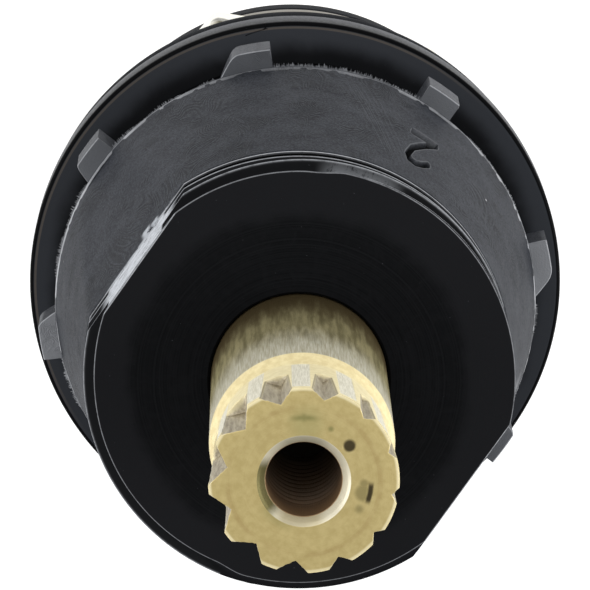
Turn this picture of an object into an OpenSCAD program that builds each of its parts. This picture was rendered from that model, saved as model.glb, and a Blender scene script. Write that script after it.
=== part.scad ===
// Faucet stem: a non-rising brass spindle that turns in a hexagon bonnet and drives a keyed
// plunger with a seat washer. A black moulded sleeve with a threaded, flatted nose covers the neck.
// The axis is Z with the splined end up. Z = 0 is the face of the gasket that meets the valve body.

/* [Spindle] */
// Diameter of the polished shank
shank_d = 9.77; // [9.2:0.01:10.4]
// How far the spindle stands out of the sleeve's nose
stem_out = 21.6; // [18:0.1:30]
// Length of the splined end, from its shoulder to the tip
spline_len = 7.8; // [6:0.1:10]
// Number of teeth of the splined end
spline_teeth = 12; // [8:1:16]
// Diameter over the teeth at the tip
spline_tip_d = 9.74; // [9.5:0.01:9.9]
// Diameter over the teeth at the shoulder
spline_back_d = 9.06; // [8.9:0.01:9.3]
// Depth of a notch between two teeth, at the tip
notch_depth = 0.62; // [0.4:0.01:0.8]
// Length of a notch from the tip to its square end
notch_len = 3.9; // [3:0.1:6]
// Angle between the two flanks of a notch
notch_angle = 108; // [80:1:115]
// Height of the cone between the teeth and the shank
shoulder_cone = 1.0; // [0.4:0.1:1.6]
// Turn of the teeth about the axis in the pose of rest
spline_turn = 10.1; // [0:0.1:30]
// How far the notches were cut off the spindle's axis
notch_shift = 0.3; // [0:0.05:0.4]
// Direction in which the notches lie off the axis
notch_shift_angle = 34; // [0:1:360]
// Depth of the shallow bevel on the tips of the teeth
tip_bevel = 0.14; // [0.05:0.01:0.3]
// Diameter at which the bevel on the tip starts
tip_bevel_d = 8.1; // [7:0.1:8.6]
// Diameter of the handle screw's hole, at the thread's minor diameter
screw_hole_d = 3.9; // [3.2:0.05:4.4]
// Depth of the handle screw's hole
screw_hole_depth = 12.5; // [8:0.5:18]
// Diameter of the countersink at the hole's mouth
countersink_d = 4.75; // [4.5:0.05:5.4]
// Diameter of the thrust collar
collar_d = 13.9; // [12.5:0.1:14]
// Thickness of the thrust collar
collar_t = 2.5; // [1.5:0.1:4]
// Diameter of the drive thread
drive_d = 8.4; // [7:0.1:9]
// Distance from the neck's top down to the slip washer
collar_drop = 15.6; // [10:0.1:18]
// Length of the drive thread below the collar
drive_len = 18.4; // [14:0.1:19]

/* [Spindle seals] */
// Thickness of the spindle's sealing rings
ring_cord_d = 1.78; // [1.5:0.01:2]
// Width of a sealing ring's groove
ring_groove_w = 2.3; // [2.1:0.1:2.8]
// Distance between the two sealing rings
ring_pitch = 3.4; // [3:0.1:5]
// Distance from the bonnet's top down to the first sealing ring
ring_drop = 2.9; // [2:0.1:5]
// Thickness of the slip washer and of the wear washer
slip_t = 0.9; // [0.5:0.1:1.5]
// Thickness of the retaining clip
clip_t = 1.0; // [0.6:0.1:1.4]
// Outer diameter of the retaining clip
clip_d = 12.6; // [11.5:0.1:14]
// Depth of the clip's groove in the spindle
clip_groove = 0.95; // [0.5:0.05:1.3]

/* [Sleeve] */
// Diameter over the thread on the nose
nose_d = 24.0; // [22:0.1:26]
// Length of the threaded nose
nose_len = 4.9; // [4:0.1:8]
// Distance across the two flats on the nose
nose_flats = 22.5; // [20.5:0.1:24]
// Bevel on the nose's front edge
nose_bevel = 0.35; // [0.1:0.05:0.8]
// Width of the relief groove between the thread and the taper
relief_w = 1.1; // [0.3:0.1:1.5]
// Depth of the relief groove between the thread and the taper
relief_depth = 1.0; // [0.3:0.1:1.2]
// Diameter at the start of the taper
taper_start_d = 24.3; // [23.5:0.1:26.5]
// Diameter at the end of the taper
taper_end_d = 28.6; // [27.5:0.1:30]
// Length of the taper
taper_len = 14.7; // [10:0.1:20]
// Number of snap ramps round the end of the taper
ramp_count = 8; // [4:2:12]
// Diameter over the snap ramps
ramp_d = 30.9; // [29.8:0.1:31.6]
// Length of a snap ramp along the axis
ramp_len = 3.0; // [2:0.1:4]
// Width of a snap ramp's top
ramp_top_w = 2.1; // [1.5:0.1:3]
// Width of a straight ramp's foot
ramp_foot_w = 2.4; // [2:0.1:3.4]
// Width of a flared ramp's foot
ramp_flared_w = 3.7; // [2.8:0.1:4.4]
// Room above the retaining clip inside the sleeve
cavity_headroom = 2.4; // [1:0.1:3]
// Diameter of the rear flange
rear_flange_d = 30.4; // [28.5:0.1:31]
// Thickness of the rear flange
rear_flange_t = 2.0; // [1.2:0.1:4]

/* [Split ring and sleeve seal] */
// Outer diameter of the split ring
split_ring_d = 32.1; // [30:0.1:34]
// Depth from the split ring's rim down to the land that carries it
ring_depth = 2.75; // [2:0.05:3.5]
// Thickness of the split ring along the axis
split_ring_t = 2.6; // [1.5:0.1:3]
// Distance from the end of the taper to the split ring
split_ring_back = 6.4; // [5:0.1:8]
// Width of the slit in the split ring
slit_w = 0.4; // [0.2:0.1:1.5]
// Angle of the slit about the axis
slit_angle = 133; // [0:1:360]
// How far the sealing ring stays inside the split ring's rim
ring_setback = 0.15; // [0.05:0.05:0.5]
// Play beside the sealing ring, along the axis
ring_side_play = 0.275; // [0.1:0.025:0.5]
// Depth of the bevels on the split ring's rim
ring_bevel = 0.2; // [0.1:0.05:0.5]

/* [Bonnet] */
// Distance across the hexagon's flats
hex_flats = 25.0; // [24:0.1:28]
// Height of the hexagon
hex_h = 5.0; // [4:0.1:9]
// Turn of the hexagon's corners about the axis
hex_turn = 25; // [0:1:60]
// Diameter to which the hexagon's corners are turned
hex_corner_d = 28.7; // [28:0.1:30]
// Diameter of the flange below the hexagon
bonnet_flange_d = 27.0; // [26:0.1:30]
// Thickness of the flange below the hexagon
bonnet_flange_t = 1.0; // [0.6:0.1:3]
// Diameter of the round body above the hexagon
bonnet_body_d = 23.2; // [21:0.1:24]
// Height of the round body above the hexagon
bonnet_body_h = 6.8; // [4:0.1:12]
// Diameter of the neck inside the sleeve
neck_d = 17.2; // [16.6:0.1:18.5]
// Height of the neck above the round body
neck_h = 23.0; // [21:0.1:24]
// Diameter over the thread that screws into the valve body
body_thread_d = 22.0; // [21:0.1:23.5]
// Length of the thread below the gasket's face
body_thread_len = 10.0; // [9.5:0.1:16]
// Diameter of the thread's undercut, behind which the gasket lies
undercut_d = 21.0; // [19.5:0.1:21.8]
// Diameter of the lower bore that seals on the plunger
lower_bore_d = 16.8; // [16.6:0.1:17.6]
// Distance from the sleeve's seat down to the top of the plunger's guide
guide_drop = 1.0; // [0.5:0.1:3]
// Depth of the lower bore
lower_bore_depth = 9.0; // [8:0.1:12]
// Thickness of the gasket
gasket_t = 2.0; // [1:0.1:3]
// Outer diameter of the gasket
gasket_d = 27.1; // [25:0.1:30]

/* [Plunger] */
// Distance across the flats of the plunger's key
key_flats = 14.0; // [13:0.1:14.2]
// Play between the plunger's key and its guide, on each side
key_play = 0.1; // [0.05:0.01:0.2]
// How far the plunger moves from closed to open
plunger_travel = 4.5; // [2:0.1:4.7]
// Room above the plunger when it is fully open
plunger_headroom = 0.8; // [0.3:0.1:2]
// Room below the drive thread when the plunger is fully open
drive_room = 1.0; // [0.3:0.1:2]
// Room above the bib screw's tip
bib_room = 0.6; // [0.3:0.1:1]
// Length of the plunger's piston
piston_len = 4.0; // [3.4:0.1:4]
// Thickness of the plunger's sealing ring
plunger_ring_cord = 1.78; // [1.5:0.01:2]
// Length of the plunger's waist below the piston
waist_len = 5.0; // [3:0.1:8]
// Diameter of the plunger's waist
waist_d = 11.0; // [9:0.1:13]
// Thickness of the plate at the plunger's end
plate_t = 1.3; // [1:0.1:3]

/* [Seat washer] */
// Outer diameter of the seat washer
seat_washer_d = 13.4; // [11:0.1:13.8]
// Thickness of the seat washer
seat_washer_t = 3.2; // [2:0.1:5]
// Depth of the recess in the seat washer for the bib screw's head
head_recess = 0.4; // [0.2:0.1:1]
// Play round the bib screw's head in that recess, on the radius
head_play = 0.3; // [0.1:0.1:0.5]
// Play round the bib screw in the washer and the cup, on the radius
bib_hole_play = 0.3; // [0.1:0.1:0.5]
// Wall of the cup round the seat washer
cup_wall = 0.8; // [0.5:0.1:1.1]
// Thickness of the cup's floor
cup_floor = 0.9; // [0.6:0.1:2]
// How much of the seat washer the cup covers
cup_depth = 2.0; // [1:0.1:2]
// Diameter of the bib screw
bib_screw_d = 4.0; // [3:0.1:5]
// Diameter of the bib screw's head
bib_head_d = 7.2; // [6:0.1:9]
// Height of the bib screw's head
bib_head_h = 1.7; // [1:0.1:3]
// Length of the bib screw below its head
bib_screw_len = 9.4; // [8:0.1:10]

/* [Fits] */
// Play between a turning or sliding round piece and its bore, on the radius
running_play = 0.06; // [0.02:0.01:0.09]
// Play between two pieces that are fixed together, on the radius
fixed_play = 0.05; // [0.02:0.01:0.1]
// Play between a loose piece and its neighbour along the axis
end_play = 0.10; // [0.05:0.05:0.3]
// Play between the shank and the sleeve's nose, on the radius
nose_play = 0.08; // [0.04:0.01:0.1]
// Play between a washer and the shank, on the radius
washer_play = 0.15; // [0.05:0.05:0.3]
// Play round the thrust collar, on the radius
collar_play = 0.2; // [0.1:0.05:0.4]

/* [Hidden] */
$fn = 96;
eps = 0.5;

// Heights of the stack, counted from the gasket's face
flange_z = gasket_t;
hex_z = flange_z + bonnet_flange_t;
hex_top_z = hex_z + hex_h;
sleeve_z = hex_top_z + bonnet_body_h;
land_z = sleeve_z + rear_flange_t;
land_d = split_ring_d - 2*ring_depth;
sleeve_ring_cord = ring_depth - ring_setback - fixed_play;
split_ring_z = land_z + sleeve_ring_cord + 2*ring_side_play;
taper_z = split_ring_z + split_ring_t + split_ring_back;
nose_z = taper_z + taper_len;
nose_face_z = nose_z + nose_len;
neck_top_z = sleeve_z + neck_h;

// Spindle
tip_z = nose_face_z + stem_out;
shoulder_z = tip_z - spline_len;
spline_root_r = spline_tip_d/2 - notch_depth;
shank_bore_d = shank_d + 2*running_play;
clip_z = neck_top_z + slip_t + 2*end_play;
clip_groove_d = shank_d - 2*clip_groove;
ring_upper_z = neck_top_z - ring_drop;
ring_lower_z = ring_upper_z - ring_pitch;
ring_center_r = shank_bore_d/2 - running_play/2 - ring_cord_d/2;
ring_groove_d = 2*(ring_center_r - ring_cord_d/2) - 2*fixed_play;

// Chamber below the neck's bore, which takes the collar and the slip washer
slip_z = neck_top_z - collar_drop;
chamber_top_z = slip_z + slip_t;
collar_top_z = slip_z - end_play;
collar_z = collar_top_z - collar_t;
drive_z = collar_z - drive_len;
key_hole_flats = key_flats + 2*key_play;
guide_bottom_z = lower_bore_depth - body_thread_len;
guide_top_z = sleeve_z - guide_drop;

// Plunger in its closed place, one travel below its open place
plunger_top_z = guide_top_z - plunger_headroom - plunger_travel;
piston_top_z = guide_bottom_z - 2*end_play - plunger_travel;
piston_z = piston_top_z - piston_len;
piston_d = lower_bore_d - 2*running_play;
waist_z = piston_z - waist_len;
plate_z = waist_z - plate_t;
plate_d = seat_washer_d;
drive_hole_z = drive_z - drive_room - plunger_travel;
plunger_ring_r = lower_bore_d/2 - running_play/2 - plunger_ring_cord/2;
plunger_ring_z = piston_z + piston_len/2;

// Seat washer and bib screw
cup_z = plate_z - cup_floor;
washer_z = cup_z - seat_washer_t;
cup_d = seat_washer_d + 2*(cup_wall + fixed_play);
washer_hole_d = bib_screw_d + 2*bib_hole_play;
head_z = washer_z + head_recess;

// Split ring and sleeve seal
sleeve_ring_z = (split_ring_z + land_z)/2;
sleeve_ring_r = land_d/2 + fixed_play + sleeve_ring_cord/2;

brass_yellow = [0.80, 0.70, 0.45];
brass_dull = [0.72, 0.62, 0.40];
black_gloss = [0.11, 0.11, 0.12];
grey_matte = [0.27, 0.28, 0.30];
rubber_black = [0.08, 0.08, 0.08];
nylon_white = [0.88, 0.87, 0.82];

// A ring of rectangular section
module tube(d, hole, h) {
    difference() {
        cylinder(d = d, h = h);
        translate([0, 0, -eps]) cylinder(d = hole, h = h + 2*eps);
    }
}

// A sealing ring of round section, centred on its own height
module seal(center_r, cord_d) {
    rotate_extrude() translate([center_r, 0]) circle(d = cord_d, $fn = 32);
}

// A hexagonal bar that stands on its own height
module hexagon(flats, h) {
    cylinder(d = flats/cos(30), h = h, $fn = 6);
}

// One notch between two teeth: a V that opens outwards and ends square
module spline_notch() {
    reach = 3*notch_depth;
    half = reach*tan(notch_angle/2);
    translate([spline_root_r, 0, tip_z - notch_len]) linear_extrude(height = notch_len + eps)
        polygon([[0, 0], [reach, half], [reach, -half]]);
}

// Outline of the spindle from its drive thread up to its tip
module spindle_blank() {
    thread_bevel = 0.8;
    rotate_extrude() polygon([
        [0, drive_z], [drive_d/2 - thread_bevel, drive_z], [drive_d/2, drive_z + thread_bevel],
        [drive_d/2, collar_z], [collar_d/2, collar_z], [collar_d/2, collar_top_z],
        [shank_d/2, collar_top_z], [shank_d/2, shoulder_z],
        [spline_back_d/2, shoulder_z + shoulder_cone],
        [spline_tip_d/2, tip_z - tip_bevel], [tip_bevel_d/2, tip_z], [0, tip_z]]);
}

// A groove turned into the spindle
module spindle_groove(z, w, d) {
    translate([0, 0, z]) difference() {
        cylinder(d = collar_d, h = w);
        translate([0, 0, -eps]) cylinder(d = d, h = w + 2*eps);
    }
}

module spindle() {
    color(brass_yellow) difference() {
        spindle_blank();
        rotate([0, 0, notch_shift_angle]) translate([notch_shift, 0, 0]) rotate([0, 0, -notch_shift_angle])
            for (i = [0 : spline_teeth - 1])
                rotate([0, 0, spline_turn + (i + 0.5)*360/spline_teeth]) spline_notch();
        for (z = [ring_upper_z, ring_lower_z])
            spindle_groove(z - ring_groove_w/2, ring_groove_w, ring_groove_d);
        spindle_groove(clip_z, clip_t + end_play, clip_groove_d);
        translate([0, 0, tip_z - screw_hole_depth]) cylinder(d = screw_hole_d, h = screw_hole_depth + eps);
        translate([0, 0, tip_z - (countersink_d - screw_hole_d)/2])
            cylinder(d1 = screw_hole_d, d2 = countersink_d + 2*eps, h = (countersink_d - screw_hole_d)/2 + eps);
    }
}

// A clip with three prongs that grips the spindle's groove
module retaining_clip() {
    prong_w = 2.4;
    mouth_w = clip_groove_d - 0.5;
    inner_d = shank_d + 0.8;
    color("dimgray") translate([0, 0, clip_z + end_play/2]) linear_extrude(height = clip_t) difference() {
        union() {
            difference() {
                circle(d = clip_d);
                circle(d = inner_d);
                translate([0, -mouth_w/2]) square([clip_d, mouth_w]);
            }
            for (a = [90, 180, 270]) rotate([0, 0, a])
                translate([clip_groove_d/2 - 0.2, -prong_w/2]) square([inner_d/2 - clip_groove_d/2 + 0.7, prong_w]);
        }
        circle(d = clip_groove_d + 2*fixed_play);
    }
}

module wear_washer() {
    color(nylon_white) translate([0, 0, neck_top_z]) tube(clip_d, shank_d + 2*washer_play, slip_t);
}

module slip_washer() {
    color(nylon_white) translate([0, 0, slip_z]) tube(collar_d - 0.2, shank_d + 2*washer_play, slip_t);
}

module spindle_o_ring_upper() {
    color(rubber_black) translate([0, 0, ring_upper_z]) seal(ring_center_r, ring_cord_d);
}

module spindle_o_ring_lower() {
    color(rubber_black) translate([0, 0, ring_lower_z]) seal(ring_center_r, ring_cord_d);
}

// One snap ramp at the end of the taper, its foot sunk in the land
module snap_ramp(foot_w) {
    foot_r = land_d/2 - 0.6;
    top_r = ramp_d/2;
    translate([0, 0, taper_z - ramp_len]) linear_extrude(height = ramp_len + 0.2)
        polygon([[foot_r, -foot_w/2], [top_r - 0.2, -ramp_top_w/2 - 0.1], [top_r, -ramp_top_w/2 + 0.2],
                 [top_r, ramp_top_w/2 - 0.2], [top_r - 0.2, ramp_top_w/2 + 0.1], [foot_r, foot_w/2]]);
}

// Outline of the sleeve, turned about the axis, before the flats and the bores
module sleeve_blank() {
    relief_z = nose_z;
    rotate_extrude() polygon([
        [0, sleeve_z], [rear_flange_d/2, sleeve_z], [rear_flange_d/2, land_z], [land_d/2, land_z],
        [land_d/2, taper_z], [taper_end_d/2, taper_z], [taper_start_d/2, relief_z],
        [nose_d/2 - relief_depth, relief_z], [nose_d/2 - relief_depth, relief_z + relief_w],
        [nose_d/2, relief_z + relief_w], [nose_d/2, nose_face_z - nose_bevel],
        [nose_d/2 - nose_bevel, nose_face_z], [0, nose_face_z]]);
}

// What is milled off beside one flat: straight down the nose, then sloping out until it leaves the taper
module nose_flat_cut() {
    slope = atan((taper_end_d/2 - nose_flats/2)/taper_len);
    reach = 12;
    translate([nose_flats/2, -nose_d, nose_z]) cube([reach, 2*nose_d, nose_len + eps]);
    translate([nose_flats/2, -nose_d, nose_z]) rotate([0, -slope, 0])
        translate([0, 0, -taper_len/cos(slope)]) cube([reach, 2*nose_d, taper_len/cos(slope) + eps]);
}

module sleeve() {
    cavity_top_z = clip_z + clip_t + cavity_headroom;
    color(grey_matte) difference() {
        union() {
            difference() {
                sleeve_blank();
                for (a = [0, 180]) rotate([0, 0, a]) nose_flat_cut();
            }
            for (i = [0 : ramp_count - 1]) rotate([0, 0, i*360/ramp_count])
                snap_ramp(i % 2 == 0 ? ramp_foot_w : ramp_flared_w);
        }
        translate([0, 0, sleeve_z - eps]) cylinder(d = shank_d + 2*nose_play, h = nose_face_z - sleeve_z + 2*eps);
        translate([0, 0, sleeve_z - eps]) cylinder(d = neck_d + 2*fixed_play, h = cavity_top_z - sleeve_z + eps);
    }
}

module split_ring() {
    inner_r = land_d/2 + fixed_play;
    outer_r = split_ring_d/2;
    top_z = split_ring_z + split_ring_t;
    slit_slant = 25;
    slit_reach = 2*(outer_r - inner_r);
    color(black_gloss) difference() {
        rotate_extrude() polygon([
            [inner_r, split_ring_z], [outer_r - ring_bevel, split_ring_z], [outer_r, split_ring_z + ring_bevel],
            [outer_r, top_z - ring_bevel], [outer_r - ring_bevel, top_z], [inner_r, top_z]]);
        rotate([0, 0, slit_angle]) translate([(inner_r + outer_r)/2, 0, split_ring_z - eps])
            rotate([0, 0, slit_slant]) translate([-slit_reach/2, -slit_w/2, 0])
                cube([slit_reach, slit_w, split_ring_t + 2*eps]);
    }
}

module sleeve_o_ring() {
    color(rubber_black) translate([0, 0, sleeve_ring_z]) seal(sleeve_ring_r, sleeve_ring_cord);
}

// Outside of the bonnet: thread, flange, round body and neck, without the hexagon
module bonnet_turned() {
    bevel = 0.8;
    edge = 0.4;
    rotate_extrude() polygon([
        [0, -body_thread_len], [body_thread_d/2 - bevel, -body_thread_len],
        [body_thread_d/2, -body_thread_len + bevel], [body_thread_d/2, 0],
        [undercut_d/2, 0], [undercut_d/2, flange_z],
        [bonnet_flange_d/2, flange_z], [bonnet_flange_d/2, hex_z], [bonnet_body_d/2, hex_z],
        [bonnet_body_d/2, sleeve_z - edge], [bonnet_body_d/2 - edge, sleeve_z],
        [neck_d/2, sleeve_z], [neck_d/2, neck_top_z - bevel],
        [neck_d/2 - bevel, neck_top_z], [0, neck_top_z]]);
}

// The hexagon with its corners turned to a diameter and beveled at the top
module bonnet_hexagon() {
    drop = (hex_corner_d - hex_flats)/2*tan(30) + 0.25;
    intersection() {
        translate([0, 0, hex_z]) rotate([0, 0, hex_turn]) hexagon(hex_flats, hex_h);
        rotate_extrude() polygon([
            [0, hex_z], [hex_corner_d/2, hex_z], [hex_corner_d/2, hex_top_z - drop],
            [hex_flats/2 - 0.4, hex_top_z], [0, hex_top_z]]);
    }
}

module bonnet() {
    color(brass_dull) difference() {
        union() {
            bonnet_turned();
            bonnet_hexagon();
        }
        translate([0, 0, -body_thread_len - eps]) cylinder(d = lower_bore_d, h = lower_bore_depth + eps);
        translate([0, 0, guide_bottom_z - eps]) hexagon(key_hole_flats, guide_top_z - guide_bottom_z + eps);
        translate([0, 0, guide_top_z]) cylinder(d = collar_d + 2*collar_play, h = chamber_top_z - guide_top_z);
        translate([0, 0, guide_top_z]) cylinder(d = shank_bore_d, h = neck_top_z - guide_top_z + eps);
    }
}

module bonnet_gasket() {
    color(rubber_black) tube(gasket_d, body_thread_d + 2*fixed_play, gasket_t);
}

module plunger() {
    groove_w = plunger_ring_cord + 4*end_play;
    groove_d = 2*(plunger_ring_r - plunger_ring_cord/2 - fixed_play);
    bib_hole_len = bib_screw_len + head_recess - seat_washer_t - cup_floor + bib_room;
    color(brass_dull) difference() {
        union() {
            translate([0, 0, piston_top_z]) intersection() {
                hexagon(key_flats, plunger_top_z - piston_top_z);
                cylinder(d = lower_bore_d - 4*running_play, h = plunger_top_z - piston_top_z);
            }
            translate([0, 0, piston_z]) cylinder(d = piston_d, h = piston_len);
            translate([0, 0, waist_z]) cylinder(d = waist_d, h = waist_len);
            translate([0, 0, plate_z]) cylinder(d = plate_d, h = plate_t);
        }
        translate([0, 0, drive_hole_z]) cylinder(d = drive_d + 2*running_play, h = plunger_top_z - drive_hole_z + eps);
        translate([0, 0, plate_z - eps]) cylinder(d = bib_screw_d + 2*fixed_play, h = bib_hole_len + eps);
        translate([0, 0, plunger_ring_z - groove_w/2]) tube(lower_bore_d + eps, groove_d, groove_w);
    }
}

module plunger_o_ring() {
    color(rubber_black) translate([0, 0, plunger_ring_z]) seal(plunger_ring_r, plunger_ring_cord);
}

module washer_cup() {
    color(brass_yellow) translate([0, 0, plate_z]) mirror([0, 0, 1]) difference() {
        cylinder(d = cup_d, h = cup_floor + cup_depth);
        translate([0, 0, cup_floor]) cylinder(d = cup_d - 2*cup_wall, h = cup_depth + eps);
        translate([0, 0, -eps]) cylinder(d = washer_hole_d, h = cup_floor + 2*eps);
    }
}

module seat_washer() {
    edge = 0.4;
    color(rubber_black) difference() {
        translate([0, 0, washer_z]) {
            cylinder(d1 = seat_washer_d - 2*edge, d2 = seat_washer_d, h = edge);
            translate([0, 0, edge]) cylinder(d = seat_washer_d, h = seat_washer_t - edge);
        }
        translate([0, 0, washer_z - eps]) cylinder(d = washer_hole_d, h = seat_washer_t + 2*eps);
        translate([0, 0, washer_z - eps]) cylinder(d = bib_head_d + 2*head_play, h = head_recess + eps);
    }
}

module bib_screw() {
    slot_w = 1.0;
    slot_depth = 0.8;
    edge = 0.5;
    color(brass_yellow) difference() {
        union() {
            translate([0, 0, head_z - bib_head_h]) cylinder(d1 = bib_head_d - 2*edge, d2 = bib_head_d, h = edge);
            translate([0, 0, head_z - bib_head_h + edge]) cylinder(d = bib_head_d, h = bib_head_h - edge);
            translate([0, 0, head_z]) cylinder(d = bib_screw_d, h = bib_screw_len);
        }
        translate([-bib_head_d, -slot_w/2, head_z - bib_head_h - eps]) cube([2*bib_head_d, slot_w, slot_depth + eps]);
    }
}

bonnet();
sleeve();
split_ring();
sleeve_o_ring();
bonnet_gasket();
wear_washer();
slip_washer();
spindle();
retaining_clip();
spindle_o_ring_upper();
spindle_o_ring_lower();
plunger();
plunger_o_ring();
washer_cup();
seat_washer();
bib_screw();
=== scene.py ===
"""Faucet stem: detailed meshes, materials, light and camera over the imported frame."""
import math

import bpy
import numpy as np
from mathutils import Matrix, Vector


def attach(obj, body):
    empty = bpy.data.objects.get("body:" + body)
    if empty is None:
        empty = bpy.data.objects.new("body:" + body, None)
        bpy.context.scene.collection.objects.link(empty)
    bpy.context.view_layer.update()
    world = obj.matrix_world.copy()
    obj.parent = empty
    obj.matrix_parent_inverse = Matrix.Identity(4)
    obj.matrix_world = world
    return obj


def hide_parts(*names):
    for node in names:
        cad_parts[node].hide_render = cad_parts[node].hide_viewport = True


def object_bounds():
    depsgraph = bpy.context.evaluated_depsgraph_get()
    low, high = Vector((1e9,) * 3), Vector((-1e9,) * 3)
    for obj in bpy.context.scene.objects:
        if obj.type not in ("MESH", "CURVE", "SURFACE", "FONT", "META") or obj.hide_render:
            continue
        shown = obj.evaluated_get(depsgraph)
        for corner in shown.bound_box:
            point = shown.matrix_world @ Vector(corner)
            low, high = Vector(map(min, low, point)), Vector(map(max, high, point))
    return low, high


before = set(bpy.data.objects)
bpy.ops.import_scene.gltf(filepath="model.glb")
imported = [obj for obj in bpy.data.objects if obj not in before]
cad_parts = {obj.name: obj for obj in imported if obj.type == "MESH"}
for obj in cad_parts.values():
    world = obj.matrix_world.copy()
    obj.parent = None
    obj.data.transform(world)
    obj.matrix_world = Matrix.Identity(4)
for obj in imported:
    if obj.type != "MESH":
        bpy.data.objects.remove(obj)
CAD_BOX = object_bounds()

MM = 0.001
TAU = 2*math.pi

# Heights and radii that several pieces share, in millimetres
TIP_Z = 70.1
SHOULDER_Z = 62.3
CONE_Z = 63.3
FACE_Z = 48.5
NOSE_Z = 43.6
NOSE_LEN = FACE_Z - NOSE_Z
TAPER_Z = 28.9
NECK_TOP_Z = 37.8
RING_TOP_Z = 22.5
RING_LOW_Z = 19.9
COLLAR_Z = 19.6
LAND_Z = 16.8
SLEEVE_Z = 14.8
SHANK_R = 4.885
NECK_BORE_R = 4.945
LOWER_BORE_R = 8.4
BODY_THREAD_R = 11.0

# The split ring lies a little off the axis
RING_CENTRE = (0.17, -0.15)

# Small rubber rings: the thickness of their cord, their play in the bore, and where they lie
SMALL_CORD = 1.78
SEAL_PLAY = 0.03
UPPER_SEAL_Z = 34.9
LOWER_SEAL_Z = 31.5
PISTON_SEAL_Z = -7.7


def smooth(x, lo, hi):
    """0 below lo, 1 above hi, with a soft step between them."""
    t = np.clip((np.asarray(x, float) - lo)/(hi - lo), 0, 1)
    return t*t*(3 - 2*t)


def wrapped(a):
    """An angle in degrees brought between -180 and 180."""
    return (np.asarray(a, float) + 180) % 360 - 180


def steps(start, stop, size):
    """Values from start to stop, both included, about one size apart."""
    count = max(1, int(round(abs(stop - start)/size)))
    return list(np.linspace(start, stop, count + 1))


def even_columns(count):
    """Angles of columns that stand evenly round the axis."""
    return np.arange(count)*360/count


def spaced(angles, least):
    """The angles in order, without those less than least behind the one before."""
    kept = []
    for a in sorted(angles):
        if not kept or a - kept[-1] > least:
            kept.append(a)
    return np.array(kept)


def polar(angle, away, height):
    """A place at an angle in degrees and a distance from the axis."""
    a = math.radians(angle)
    return (away*math.cos(a), away*math.sin(a), height)


def soft_min(a, b, k):
    """The smaller of two values, rounded over a width k where they cross."""
    h = np.clip(0.5 + 0.5*(b - a)/k, 0, 1)
    return b*(1 - h) + a*h - k*h*(1 - h)


class Wave:
    """Smooth repeatable noise round the axis: a sum of sines with fixed phases."""

    def __init__(self, seed, count=24, reach=60, span=3.0):
        rng = np.random.default_rng(seed)
        self.turns = rng.integers(1, reach, count)
        self.rise = rng.normal(0, span, count)
        self.phase = rng.uniform(0, TAU, count)
        self.size = 1/np.sqrt(count)

    def __call__(self, phi, z=0.0):
        out = 0
        for n, k, p in zip(self.turns, self.rise, self.phase):
            out = out + np.sin(n*np.radians(phi) + k*z + p)
        return out*self.size


def rounded_path(corners, arcs=5):
    """An outline in (r, z) whose corners (r, z, radius) are rounded by short arcs."""
    out = []
    count = len(corners)
    for i, (r, z, radius) in enumerate(corners):
        if radius <= 0 or i in (0, count - 1):
            out.append((r, z))
            continue
        here = np.array([r, z])
        before = np.array(corners[i - 1][:2]) - here
        after = np.array(corners[i + 1][:2]) - here
        cut = min(radius, 0.45*np.hypot(*before), 0.45*np.hypot(*after))
        a = here + before/np.hypot(*before)*cut
        b = here + after/np.hypot(*after)*cut
        for t in np.linspace(0, 1, arcs):
            out.append(tuple((1 - t)**2*a + 2*t*(1 - t)*here + t*t*b))
    return out


def split_long(path, size):
    """The same outline with points no more than one size apart."""
    out = [path[0]]
    for a, b in zip(path, path[1:]):
        n = max(1, int(math.ceil(math.hypot(b[0] - a[0], b[1] - a[1])/size)))
        for k in range(1, n + 1):
            out.append((a[0] + (b[0] - a[0])*k/n, a[1] + (b[1] - a[1])*k/n))
    return out


def round_grid(rows, phi):
    """Points of a grid: each row is (r, z), where either may vary round the axis."""
    phi = np.asarray(phi, float)
    grid = np.empty((len(rows), len(phi), 3))
    for i, row in enumerate(rows):
        r, z = row[0], row[1]
        a = np.radians(phi if len(row) < 3 else row[2])
        grid[i, :, 0] = r*np.cos(a)
        grid[i, :, 1] = r*np.sin(a)
        grid[i, :, 2] = z
    return grid


def new_object(name, data):
    """An object for the data, linked into the scene."""
    obj = bpy.data.objects.new(name, data)
    bpy.context.scene.collection.objects.link(obj)
    return obj


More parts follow.
